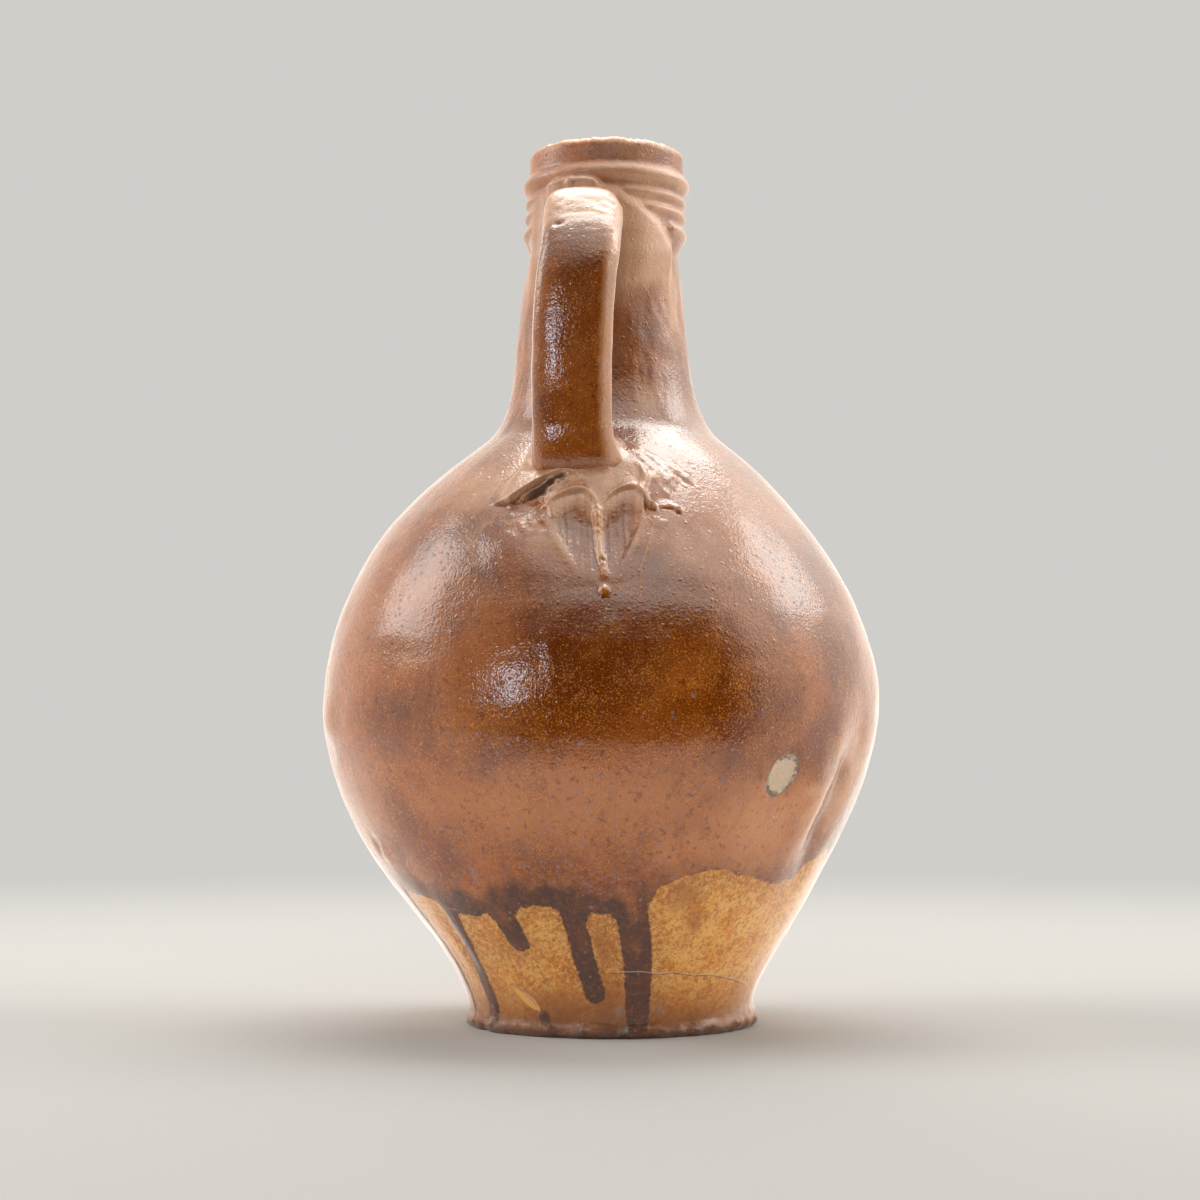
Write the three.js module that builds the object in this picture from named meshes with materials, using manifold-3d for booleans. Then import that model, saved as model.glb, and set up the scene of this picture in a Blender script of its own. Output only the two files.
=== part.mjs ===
// A salt-glazed stoneware jug of the bearded-mask family, made of three pieces of clay:
// a bottle-shaped body thrown on the wheel, a pulled strap handle wiped on to the shoulder with
// two thumbs, and a press-moulded mask laid on the neck opposite the handle.
// Millimetres, +Z up. The origin is the middle of the foot's underside, and the handle is towards -Y.
import * as THREE from "three";
import { mergeVertices } from "three/addons/utils/BufferGeometryUtils.js";
import Module from "manifold-3d";

const wasm = await Module();
wasm.setup();

// Driving dimensions of the thrown body: radii from its axis, heights from the table.
const HEIGHT = 250;
const FOOT = { radius: 40.4, chamfer: 1, edge: 2.2 };
const WAIST = { radius: 39.9, height: 4 };
const BELLY = { radius: 78.6, height: 90 };
const NECK_ROOT = { radius: 33.9, height: 165 };
const NECK_TOP = { radius: 21.2, height: 219.5 };
const COLLAR = { radius: 22.3, start: 222, end: 247.5 };
const LIP_ROUNDING = 2.5;
const MOUTH_RADIUS = 15.6;
const WALL = 5.5;
const FLOOR = 9;

// The collar's four cordons, from the lowest to the widest one under the lip.
const CORDONS = [
  { height: 225, rise: 1.5, spread: 3.0 },
  { height: 230, rise: 0.9, spread: 1.9 },
  { height: 234.2, rise: 0.8, spread: 1.9 },
  { height: 239.4, rise: 1.8, spread: 4.0 },
];

// Hand throwing: the body's axis wanders sideways as it rises, as pairs of height and shift in X,
// and one flank was pressed in while the clay was soft.
const SWAY = [
  [0, 0],
  [18, 0],
  [55, -3],
  [95, -2.5],
  [140, -3.5],
  [166, -1.9],
  [192, -2.4],
  [HEIGHT, -1],
];
const DENT = { azimuth: 72, height: 64, depth: 2.2, halfWidth: 13, halfHeight: 20 };

// The strap handle: its middle line from inside the collar, over and down to inside the shoulder.
const STRAP_LINE = [
  [-8.2, -14, 231.5],
  [-7.8, -30, 229.5],
  [-7.4, -42.5, 225],
  [-8.8, -51, 215.5],
  [-10.2, -55, 200],
  [-10.6, -55.2, 181],
  [-10.5, -52.8, 163],
  [-10.2, -47.5, 152],
  [-9.8, -38, 143],
];
const STRAP = { width: 21, thickness: 7.4, crown: 0.8, bevel: 0.12, rootFlare: 4, rootThickening: 4 };

// The handle's tail: a teardrop of clay on the shoulder, wiped down by two thumbs with a ridge between.
const TAIL = { azimuth: 1.8, height: 136, width: 38, length: 48, edge: 0.8, band: 3.6 };
const THUMB = { spacing: 7.2, halfWidth: 5.6, depth: 2.9 };

// The mask: its outline on the neck and shoulder, and how far it stands off at its edge and crown.
const MASK = { azimuth: 180, height: 186, width: 45, length: 64, edge: 1.4, dome: 3 };

// The face's places, in millimetres up and across from the mask's middle: the eyes halfway from crown
// to chin, and the brow, the base of the nose and the chin at equal thirds below the hairline.
const FACE = { hairline: 23, brow: 11.5, eyes: 8, noseBase: 0, mouth: -4.5, eyeSpacing: 6 };
const LOCK_WIDTH = 5.6;

// Clay pieces keep this gap where they touch.
const SEAM = 0.3;

// Facet counts.
const TURN_STEPS = 48;
const STRAP_STEPS = 26;
const STRAP_SIDES = 18;
const TAIL_GRID = [18, 22];
const MASK_GRID = [32, 44];

const BROWN_SALT_GLAZE = { color: 0x7a4a28, roughness: 0.3, metalness: 0 };

// A smooth rise from 0 at a to 1 at b.
const rise = (a, b, x) => THREE.MathUtils.smoothstep(x, a, b);

// A round bump of height 1, with a flat crown, that reaches 0 one spread away.
const bump = (x, spread) => 0.5 + 0.5 * Math.cos(Math.PI * Math.min(1, Math.abs(x) / spread));

// A soft mound of height 1 at the origin of (u, v), with a half-size each way.
const mound = (u, v, halfU, halfV) => Math.exp(-((u / halfU) ** 2) - (v / halfV) ** 2);

const places = (pairs) => pairs.map(([radius, height]) => new THREE.Vector2(radius, height));

const sweep = (...pairs) => new THREE.CubicBezierCurve(...places(pairs));

// The outside from the foot's edge to the lip: three sweeps of the potter's rib, then the ribbed collar.
function outsideProfile() {
  const foot = places([
    [FOOT.radius - FOOT.chamfer, 0],
    [FOOT.radius, FOOT.chamfer],
    [FOOT.radius, FOOT.edge],
  ]);
  const lower = sweep(
    [WAIST.radius, WAIST.height],
    [WAIST.radius, WAIST.height + 17],
    [BELLY.radius, BELLY.height - 39],
    [BELLY.radius, BELLY.height],
  );
  const upper = sweep(
    [BELLY.radius, BELLY.height],
    [BELLY.radius, BELLY.height + 46],
    [NECK_ROOT.radius - 0.6, NECK_ROOT.height - 0.3],
    [NECK_ROOT.radius, NECK_ROOT.height],
  );
  const neck = sweep(
    [NECK_ROOT.radius, NECK_ROOT.height],
    [NECK_ROOT.radius - 11.2, NECK_ROOT.height + 9.6],
    [NECK_TOP.radius + 4.9, NECK_TOP.height - 23.9],
    [NECK_TOP.radius, NECK_TOP.height],
  );
  return [
    ...foot,
    ...lower.getPoints(11),
    ...upper.getPoints(12).slice(1),
    ...neck.getPoints(9).slice(1),
    ...collarProfile(18),
    ...lipProfile(3),
  ];
}

function collarProfile(steps) {
  return Array.from({ length: steps + 1 }, (_, i) => {
    const height = THREE.MathUtils.lerp(COLLAR.start, COLLAR.end, i / steps);
    const ribs = CORDONS.map((cordon) => cordon.rise * bump(height - cordon.height, cordon.spread));
    return new THREE.Vector2(COLLAR.radius + Math.max(...ribs), height);
  });
}

// The lip's outer quarter round, from the collar to the flat top.
function lipProfile(steps) {
  return Array.from({ length: steps }, (_, i) => {
    const turn = ((i + 1) / steps) * (Math.PI / 2);
    const radius = COLLAR.radius - LIP_ROUNDING * (1 - Math.cos(turn));
    return new THREE.Vector2(radius, HEIGHT - LIP_ROUNDING * (1 - Math.sin(turn)));
  });
}

// The inside from the mouth down to the floor, about one wall's thickness in from the outside.
function insideProfile() {
  const throat = places([
    [MOUTH_RADIUS + 1.6, HEIGHT],
    [MOUTH_RADIUS, HEIGHT - 1.8],
    [MOUTH_RADIUS, NECK_TOP.height],
  ]);
  const neck = sweep(
    [MOUTH_RADIUS, NECK_TOP.height],
    [MOUTH_RADIUS + 4.5, NECK_TOP.height - 24],
    [NECK_ROOT.radius - 15.5, NECK_ROOT.height + 6],
    [NECK_ROOT.radius - 4.5, NECK_ROOT.height - 5],
  );
  const upper = sweep(
    [NECK_ROOT.radius - 4.5, NECK_ROOT.height - 5],
    [NECK_ROOT.radius - 2, NECK_ROOT.height - 7],
    [BELLY.radius - WALL, BELLY.height + 43],
    [BELLY.radius - WALL, BELLY.height],
  );
  const lower = sweep(
    [BELLY.radius - WALL, BELLY.height],
    [BELLY.radius - WALL, BELLY.height - 33],
    [WAIST.radius - 5, FLOOR],
    [WAIST.radius - 14, FLOOR],
  );
  return [
    ...throat,
    ...neck.getPoints(6).slice(1),
    ...upper.getPoints(8).slice(1),
    ...lower.getPoints(8).slice(1),
    new THREE.Vector2(0, FLOOR),
  ];
}

const OUTSIDE = outsideProfile();

// The direction of the outside at one of its points, rising from foot to lip.
function outsideDirection(i) {
  const above = OUTSIDE[Math.min(i + 1, OUTSIDE.length - 1)];
  return above.clone().sub(OUTSIDE[Math.max(i - 1, 0)]).normalize();
}

// The body's sideways wander at a height.
function swayAt(height) {
  const last = SWAY.length - 1;
  const i = Math.max(1, SWAY.findIndex(([z], n) => z > height || n === last));
  const [lowHeight, lowShift] = SWAY[i - 1];
  const [highHeight, highShift] = SWAY[i];
  return THREE.MathUtils.lerp(lowShift, highShift, rise(lowHeight, highHeight, height));
}

// How far the dent pushes the wall in at a point of the belly.
function dentAt({ x, y, z }) {
  const turn = Math.atan2(x, -y) - THREE.MathUtils.degToRad(DENT.azimuth);
  return DENT.depth * mound(turn * BELLY.radius, z - DENT.height, DENT.halfWidth, DENT.halfHeight);
}

// Moves a point of the true turned shape to where hand throwing left it.
function handThrown(point) {
  const radius = Math.hypot(point.x, point.y);
  const kept = radius > 1 ? 1 - dentAt(point) / radius : 1;
  return point.set(point.x * kept + swayAt(point.z), point.y * kept, point.z);
}

function revolve(profile) {
  const turned = new THREE.LatheGeometry(profile, TURN_STEPS).rotateX(Math.PI / 2);
  const position = turned.getAttribute("position");
  const point = new THREE.Vector3();
  for (let i = 0; i < position.count; i++) {
    handThrown(point.fromBufferAttribute(position, i));
    position.setXYZ(i, point.x, point.y, point.z);
  }
  return turned;
}

function solidOf(geometry) {
  const bare = geometry.clone();
  bare.deleteAttribute("normal");
  bare.deleteAttribute("uv");
  const merged = mergeVertices(bare, 1e-3);
  const vertProperties = merged.attributes.position.array;
  const triVerts = new Uint32Array(merged.index.array);
  return new wasm.Manifold(new wasm.Mesh({ numProp: 3, vertProperties, triVerts }));
}

function geometryOf(solid) {
  const mesh = solid.getMesh();
  return new THREE.BufferGeometry()
    .setAttribute("position", new THREE.BufferAttribute(mesh.vertProperties, mesh.numProp))
    .setIndex(new THREE.BufferAttribute(mesh.triVerts, 1));
}

// Running length along the outside at each of its points, so that reliefs are laid out flat and wrapped on.
const RUN = [0];
OUTSIDE.slice(1).forEach((point, i) => RUN.push(RUN[i] + point.distanceTo(OUTSIDE[i])));

function runAtHeight(height) {
  const i = OUTSIDE.findIndex((point) => point.y > height);
  const share = (height - OUTSIDE[i - 1].y) / (OUTSIDE[i].y - OUTSIDE[i - 1].y);
  return THREE.MathUtils.lerp(RUN[i - 1], RUN[i], share);
}

// The outside's point and direction at a running length.
function outsideAt(run) {
  const i = RUN.findIndex((length) => length > run);
  const share = (run - RUN[i - 1]) / (RUN[i] - RUN[i - 1]);
  const point = OUTSIDE[i - 1].clone().lerp(OUTSIDE[i], share);
  return { point, along: outsideDirection(i - 1).lerp(outsideDirection(i), share).normalize() };
}

// A closed mesh of rows of points: faces between the rows, and a fan from a hub to each open rim.
function gridMesh(rows, closedAcross, fans) {
  const across = rows[0].length;
  const faces = [];
  for (let j = 0; j < rows.length - 1; j++) {
    for (let i = 0; i < (closedAcross ? across : across - 1); i++) {
      const next = (i + 1) % across;
      const [low, high] = [j * across, (j + 1) * across];
      faces.push(low + i, low + next, high + next);
      faces.push(low + i, high + next, high + i);
    }
  }
  fans.forEach(({ rim }, n) => {
    const hub = rows.length * across + n;
    rim.forEach((corner, k) => faces.push(hub, rim[(k + 1) % rim.length], corner));
  });
  const points = [...rows.flat(), ...fans.map((fan) => fan.hub)];
  return new THREE.BufferGeometry().setFromPoints(points).setIndex(faces);
}

// A relief laid on the body: a rounded patch whose surface stands off the wall by lift(u, v), with u across
// and v up, in millimetres from its middle. Its sides run in to the axis, ready to be cut by the wall.
function reliefOnBody({ azimuth, height, width, length }, [columns, ranks], taper, lift) {
  const middle = runAtHeight(height);
  const rows = Array.from({ length: ranks + 1 }, (_, j) =>
    Array.from({ length: columns + 1 }, (_, i) => {
      const a = (2 * i) / columns - 1;
      const b = (2 * j) / ranks - 1;
      const v = (length / 2) * b * Math.sqrt(1 - (a * a) / 2);
      const u = (width / 2) * a * Math.sqrt(1 - (b * b) / 2) * taper(v);
      const { point, along } = outsideAt(middle + v);
      const turn = THREE.MathUtils.degToRad(azimuth) + u / point.x;
      const radius = point.x + along.y * lift(u, v);
      const place = new THREE.Vector3(Math.sin(turn) * radius, -Math.cos(turn) * radius, point.y);
      return handThrown(place.setZ(point.y - along.x * lift(u, v)));
    }),
  );
  const corner = (i, j) => j * (columns + 1) + i;
  const rim = [
    ...Array.from({ length: columns }, (_, i) => corner(i, 0)),
    ...Array.from({ length: ranks }, (_, j) => corner(columns, j)),
    ...Array.from({ length: columns }, (_, i) => corner(columns - i, ranks)),
    ...Array.from({ length: ranks }, (_, j) => corner(0, ranks - j)),
  ];
  return gridMesh(rows, false, [{ hub: new THREE.Vector3(swayAt(height), 0, height), rim }]);
}

function throwBody() {
  return revolve([new THREE.Vector2(0, 0), ...OUTSIDE, ...insideProfile()]);
}

// The body filled solid and grown by one seam, which the other pieces of clay are cut to fit.
function seatOfBody() {
  const grown = OUTSIDE.map((point, i) => {
    const along = outsideDirection(i);
    return new THREE.Vector2(point.x + along.y * SEAM, point.y - along.x * SEAM);
  });
  const [foot, lip] = [grown[0], grown[grown.length - 1]];
  return solidOf(revolve([new THREE.Vector2(0, foot.y), ...grown, new THREE.Vector2(0, lip.y)]));
}

// One section of the strap: a flat oval with full edges, bevelled towards its crowned outer face.
function strapSection(width, thickness) {
  return Array.from({ length: STRAP_SIDES }, (_, k) => {
    const turn = (2 * Math.PI * k) / STRAP_SIDES;
    const across = Math.sign(Math.cos(turn)) * Math.abs(Math.cos(turn)) ** 0.6;
    const out = Math.sign(Math.sin(turn)) * Math.abs(Math.sin(turn)) ** 0.7;
    const crown = out > 0 ? STRAP.crown * (1 - across * across) : 0;
    return [(width / 2) * across * (1 - STRAP.bevel * out), (thickness / 2) * out + crown];
  });
}

// The strap, left wide and thick at its roots, swept along its middle line.
function pullStrap() {
  const line = new THREE.CatmullRomCurve3(STRAP_LINE.map((point) => new THREE.Vector3(...point)));
  const rows = Array.from({ length: STRAP_STEPS + 1 }, (_, j) => {
    const share = j / STRAP_STEPS;
    const root = 1 - rise(0, 0.28, share) + 0.5 * rise(0.8, 1, share);
    const centre = line.getPointAt(share);
    const along = line.getTangentAt(share);
    const wide = new THREE.Vector3(1, 0, 0).addScaledVector(along, -along.x).normalize();
    const outward = new THREE.Vector3().crossVectors(along, wide);
    const width = STRAP.width + STRAP.rootFlare * root;
    const section = strapSection(width, STRAP.thickness + STRAP.rootThickening * root);
    return section.map(([x, y]) => centre.clone().addScaledVector(wide, x).addScaledVector(outward, y));
  });
  const start = Array.from({ length: STRAP_SIDES }, (_, k) => k);
  const end = start.map((k) => STRAP_STEPS * STRAP_SIDES + k).reverse();
  return gridMesh(rows, true, [
    { hub: line.getPointAt(0), rim: start },
    { hub: line.getPointAt(1), rim: end },
  ]);
}

// The tail narrows downwards to where the thumbs left the shoulder.
const tailTaper = (v) => 0.34 + 0.66 * rise(-TAIL.length / 2, TAIL.length / 3, v);

// The tail's thickness: a band under the strap, two thumb scoops that run together, and the ridge between.
function tailLift(u, v) {
  const up = v / TAIL.length + 0.5;
  const spacing = THUMB.spacing * (0.3 + 0.7 * up);
  const halfWidth = THUMB.halfWidth * (0.4 + 0.6 * up);
  const scoops = bump(u - spacing, halfWidth) + bump(u + spacing, halfWidth);
  const pressed = 1 - rise(TAIL.length * 0.2, TAIL.length * 0.36, v);
  const clay = THREE.MathUtils.lerp(1.4, TAIL.band, rise(0, 0.75, up));
  return Math.max(TAIL.edge, clay - THUMB.depth * scoops * pressed);
}

function formHandle(seat) {
  const tail = solidOf(reliefOnBody(TAIL, TAIL_GRID, tailTaper, tailLift));
  return geometryOf(solidOf(pullStrap()).add(tail).subtract(seat));
}

// The mask is broadest at the temples, and its beard is cut a little narrower.
const maskTaper = (v) => 0.86 + 0.14 * rise(-MASK.length / 2, FACE.eyes, v);

// Wavy locks of hair or beard, as ridges one lock wide.
const locks = (across, along) => Math.cos((2 * Math.PI * (across + 0.9 * Math.sin(along / 4))) / LOCK_WIDTH);

// The nose: a narrow bridge that widens and rises from the brow to the tip, and rounds in at its base.
function noseLift(side, v) {
  const down = 1 - rise(FACE.noseBase, FACE.brow, v);
  const base = rise(FACE.noseBase - 1.5, FACE.noseBase + 0.8, v);
  const bridge = 1 - rise(FACE.brow - 2, FACE.brow + 2, v);
  const wings = mound(side - 2.6, v - FACE.noseBase - 1, 1.5, 1.5);
  return (1.2 + 2.2 * down) * bump(side, 2.2 + 1.6 * down) * base * bridge + wings;
}

// Brow, sockets, eyeballs, cheeks, moustache and lips, alike on both sides of the face.
function featureLift(side, v) {
  const fromEye = side - FACE.eyeSpacing;
  const whiskers = side - 5;
  const brow = 1.0 * mound(fromEye, v - FACE.brow - 0.6 + 0.03 * fromEye ** 2, 5.2, 1.7);
  const socket = -1.3 * mound(fromEye, v - FACE.eyes, 4, 2.6);
  const eyeball = 1.3 * mound(fromEye, v - FACE.eyes, 2.7, 1.7);
  const cheek = 0.8 * mound(fromEye - 2, v - 2, 4.4, 4.2);
  const moustache = 1.4 * mound(whiskers, v + 2.6 + 0.4 * whiskers, 4.6, 1.6);
  const mouth = -1.0 * mound(side, v - FACE.mouth, 3.6, 0.9);
  const lip = 0.9 * mound(side, v - FACE.mouth + 1.8, 3.2, 1.2);
  return brow + socket + eyeball + cheek + moustache + mouth + lip;
}

// The mask's height off the neck: a domed head, its features, and hair and beard in locks.
function maskLift(u, v) {
  const side = Math.abs(u);
  const dome = MASK.dome * Math.sqrt(Math.max(0, 1 - (u / 17) ** 2 - ((v - FACE.eyes) / 26) ** 2));
  const jaw = FACE.mouth - 3 + 0.055 * side * side;
  const beard = 1 - rise(jaw - 2, jaw + 2, v);
  const hair = rise(FACE.hairline - 2, FACE.hairline + 1, v + 0.03 * side * side);
  const beardLocks = beard * (1.5 + 0.55 * locks(u * (1 - 0.008 * v), v));
  const hairLocks = hair * (0.9 + 0.5 * locks(u, v));
  const rim = 1 - rise(0.8, 1, (u / (MASK.width / 2)) ** 2 + (v / (MASK.length / 2)) ** 2);
  return MASK.edge + rim * (dome + noseLift(side, v) + featureLift(side, v) + beardLocks + hairLocks);
}

function pressMask(seat) {
  return geometryOf(solidOf(reliefOnBody(MASK, MASK_GRID, maskTaper, maskLift)).subtract(seat));
}

function piece(name, geometry) {
  const mesh = new THREE.Mesh(geometry, new THREE.MeshStandardMaterial(BROWN_SALT_GLAZE));
  mesh.name = name;
  return mesh;
}

const seat = seatOfBody();
const jug = new THREE.Group();
jug.add(piece("thrown_body", throwBody()));
jug.add(piece("strap_handle", formHandle(seat)));
jug.add(piece("bearded_mask", pressMask(seat)));

export default jug;
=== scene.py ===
import math
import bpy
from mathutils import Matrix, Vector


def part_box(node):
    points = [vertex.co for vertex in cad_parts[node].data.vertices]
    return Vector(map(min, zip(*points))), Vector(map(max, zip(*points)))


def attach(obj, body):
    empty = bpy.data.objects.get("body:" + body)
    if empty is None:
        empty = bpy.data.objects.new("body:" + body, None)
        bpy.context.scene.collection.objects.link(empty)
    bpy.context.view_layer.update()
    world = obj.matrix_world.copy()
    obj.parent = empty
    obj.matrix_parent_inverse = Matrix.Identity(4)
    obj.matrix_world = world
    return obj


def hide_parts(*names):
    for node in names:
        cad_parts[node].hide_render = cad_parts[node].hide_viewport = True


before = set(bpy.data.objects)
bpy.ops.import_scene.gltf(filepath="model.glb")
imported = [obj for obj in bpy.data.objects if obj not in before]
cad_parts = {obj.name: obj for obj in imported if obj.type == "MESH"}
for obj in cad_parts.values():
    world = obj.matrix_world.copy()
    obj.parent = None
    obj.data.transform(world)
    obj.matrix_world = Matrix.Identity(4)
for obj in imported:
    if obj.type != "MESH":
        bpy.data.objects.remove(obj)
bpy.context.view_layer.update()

from types import SimpleNamespace

import bmesh
import bpy
from mathutils import Vector, noise
from mathutils.geometry import interpolate_bezier

bl_info = {
    "name": "Stoneware Mask Jug",
    "version": (1, 0, 0),
    "blender": (4, 5, 0),
    "location": "View3D > Sidebar > Jug",
    "description": "Builds a salt-glazed stoneware jug with a strap handle and a bearded mask",
    "category": "Add Mesh",
}

BODY_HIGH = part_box("thrown_body")[1]
MM = 0.001

# Cordons round the collar, from the lowest up: height, rise and half-spread in millimetres, then the
# angles left and right of the handle where each comes out of the clay smeared on with the handle's root,
# and the degrees that its right end takes to come out.
CORDONS = (
    (225.0, 1.6, 3.0, -60, 50, 9),
    (230.0, 1.2, 2.1, -50, 20, 18),
    (234.2, 1.1, 2.0, -47, 10, 6),
    (239.4, 1.9, 3.8, 5, -6, 1),
)

# The top edge of that smeared clay: angle from the handle, and height in millimetres.
WEB_TOP = ((-60, 236), (-20, 237), (10, 235), (36, 228.8), (56, 222.5))

# The body's axis wanders sideways as it rises: pairs of height and shift in X, in millimetres.
SWAY = ((0, 0), (18, 0), (55, -3), (95, -2.5), (140, -3.5), (166, -1.9), (192, -2.4), (250, -1))

# The strap's middle line from inside the collar, over and down to inside the shoulder, in millimetres.
STRAP_LINE = (
    (-8.2, -14, 228.5),
    (-7.8, -30, 227.4),
    (-7.5, -38.5, 225.2),
    (-7.8, -46.5, 217.4),
    (-8.2, -50.2, 213.2),
    (-8.7, -52.8, 208.5),
    (-9.4, -54.3, 202.5),
    (-10.1, -54.7, 194),
    (-10.5, -54.4, 184),
    (-10.6, -53.8, 174.5),
    (-10.5, -52.3, 165),
    (-10.3, -51.3, 157.5),
    (-10.1, -47.4, 152),
    (-9.8, -38, 145),
)

# Where the brown wash ends round the body: angle from the handle, and height in millimetres.
WASH_EDGE = (
    (-180, 38), (-150, 34), (-120, 41), (-95, 36), (-75, 39), (-58, 38), (-47, 34.5), (-40, 32.8),
    (-30, 34.5), (-17.5, 36.4), (-10, 35), (-1.3, 34), (6, 34.5), (11.5, 38), (14, 41.5), (21.3, 44.5),
    (27.5, 46.2), (35.3, 44.1), (49, 41.2), (55.3, 42), (64.7, 47.1), (70, 50), (85, 45), (105, 38),
    (130, 41), (155, 36), (180, 38),
)

# Runs of wash below that edge: places as angle and height along each, then its half-width at the top
# and at the end.
WASH_RUNS = (
    (((-69, 40), (-71, -4)), 1.5, 1.7),
    (((-48, 36), (-52, 18), (-52.5, -4)), 2.4, 2.2),
    (((-30, 36), (-28.4, 26.6)), 3.6, 3.1),
    (((-9.4, 37), (-8.6, 22), (-5.9, 12.4)), 3.1, 2.7),
    (((6.2, 38), (9.4, 16), (11, -4)), 4.6, 2.5),
    (((-26.6, 5.9), (-26.2, 4.6)), 1.5, 1.5),
    (((98, 42), (100, 23)), 3.2, 2.8),
    (((123, 43), (125, 9)), 2.8, 2.5),
    (((150, 38), (149, 25)), 3.6, 3.2),
    (((172, 40), (174, -4)), 2.8, 2.2),
    (((-151, 37), (-149, 19)), 3.0, 2.7),
    (((-119, 42), (-122, 5)), 2.8, 2.4),
    (((-93, 39), (-94, 24)), 3.4, 2.9),
)

# How much wash gathered above that edge round the body: angle, and strength from 0 to 1.
GATHERED = (
    (-180, 0.8), (-110, 0.7), (-62, 0.5), (-46, 1), (5, 1), (18, 0.25), (62, 0.3), (80, 0.7), (180, 0.8),
)

# Stains of wash on the bare lower wall: angle, height, half-width, half-height and strength.
STAINS = (
    (22, 39, 6, 5, 0.9),
    (26, 33, 5, 4, 0.8),
    (23, 27, 3, 4, 0.5),
    (-1.5, 26, 3.4, 10, 0.8),
    (0.5, 10, 5, 9, 1.0),
    (-20, 8, 10, 7, 0.8),
    (-36, 24, 7, 6, 0.5),
    (30, 4, 14, 4, 0.6),
    (84, 30, 8, 9, 0.5),
    (-135, 24, 7, 6, 0.6),
    (140, 16, 8, 6, 0.5),
)

# Patches of pale kiln ash on the lower wall, the same way.
ASH = (
    (4, 8, 3.4, 5, 0.7),
    (18, 8, 6, 4, 0.7),
    (7, 2, 5, 1.6, 1.0),
    (40, 2.6, 7, 2.2, 0.8),
    (110, 6, 7, 4, 0.6),
    (-165, 7, 8, 4, 0.6),
)

# Warm flushes in the wash, the same way.
FLUSHES = (
    (38, 58, 24, 15, 1.0),
    (20, 52, 12, 9, 0.8),
    (-8, 62, 44, 14, 0.7),
    (-22, 84, 18, 9, 0.4),
    (-62, 62, 18, 16, 0.5),
    (100, 70, 26, 20, 0.6),
    (-140, 66, 30, 18, 0.6),
)

# Painted shade: darker places laid into the gathered-wash mark, the same way.
SHADES = (
    (21, 65, 6, 17, 0.25),
    (-36, 87, 20, 11, 0.4),
    (-42, 106, 22, 11, 0.4),
    (30, 196, 8, 11, 0.45),
    (-120, 76, 12, 14, 0.5),
    (128, 70, 8, 18, 0.5),
)

# Paler places, the same way: salt bloom on dry and worn places, and painted sheen where light catches.
SHEEN_AND_BLOOM = (
    (-32, 147, 16, 10, 0.75),
    (-26, 133, 12, 7, 0.6),
    (-50, 117, 14, 10, 0.2),
    (26, 146, 16, 14, 0.35),
    (24, 174, 7, 7, 0.6),
    (14, 246, 9, 5, 0.5),
    (24, 224, 9, 11, 1.0),
    (58, 203, 6, 12, 0.6),
    (36, 56, 14, 14, 0.35),
    (52, 64, 6, 16, 0.8),
    (67, 66, 8, 18, 1.0),
    (-76, 50, 8, 16, 0.6),
    (78, 46, 8, 14, 0.6),
    (22, 130, 12, 8, 0.5),
    (160, 140, 30, 14, 0.5),
)

# Places where gold flecks crowd together, the same way.
GOLDEN = (
    (15, 99, 16, 9, 0.5),
    (28, 94, 8, 6, 0.6),
    (-6, 88, 20, 8, 0.4),
    (-40, 104, 12, 8, 0.4),
    (57, 72, 4, 16, 0.9),
    (150, 108, 20, 12, 0.8),
    (-110, 98, 18, 10, 0.6),
)

# Lumps and dents left by handling the soft clay: angle, height, half-width, half-height and rise.
KNOCKS = (
    (-74, 86, 9, 5.5, 0.9),
    (-76, 77, 9, 4, -0.6),
    (-66, 51, 1.6, 2.2, -0.9),
    (-63, 49, 2.4, 2.6, 0.5),
    (-54, 24, 2.0, 9, -0.5),
    (-49, 20, 2.2, 10, 0.5),
    (-55, 13, 2.6, 5, 0.4),
    (-6.4, 13.8, 2.6, 3.6, 0.7),
    (1.6, 109, 1.5, 1.8, 0.7),
    (1.9, 104.6, 1.4, 1.6, 0.6),
    (1.7, 100.4, 1.3, 1.8, 0.5),
    (-9.5, 106, 1.5, 8, 0.4),
    (13.5, 118, 1.4, 9, 0.35),
    (150, 60, 14, 12, -0.5),
    (-120, 120, 12, 10, -0.4),
)

# Hairline cracks: how open, and places as angle and height along each.
CRACKS = (
    (0.4, ((3.6, 76), (3.0, 62), (3.5, 50), (3.2, 36))),
    (
        1.0,
        ((-6, 17.8), (9.7, 18.0), (16, 17.3), (22, 17.7), (30, 16.6), (36, 16.7), (52, 14.4), (66, 11.5)),
    ),
    (1.0, ((-37.4, 14.2), (-33, 11.2), (-29.4, 8.2))),
)


def size_property(label, says, millimetres):
    return bpy.props.FloatProperty(name=label, description=says, default=millimetres * MM, unit="LENGTH")


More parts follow.
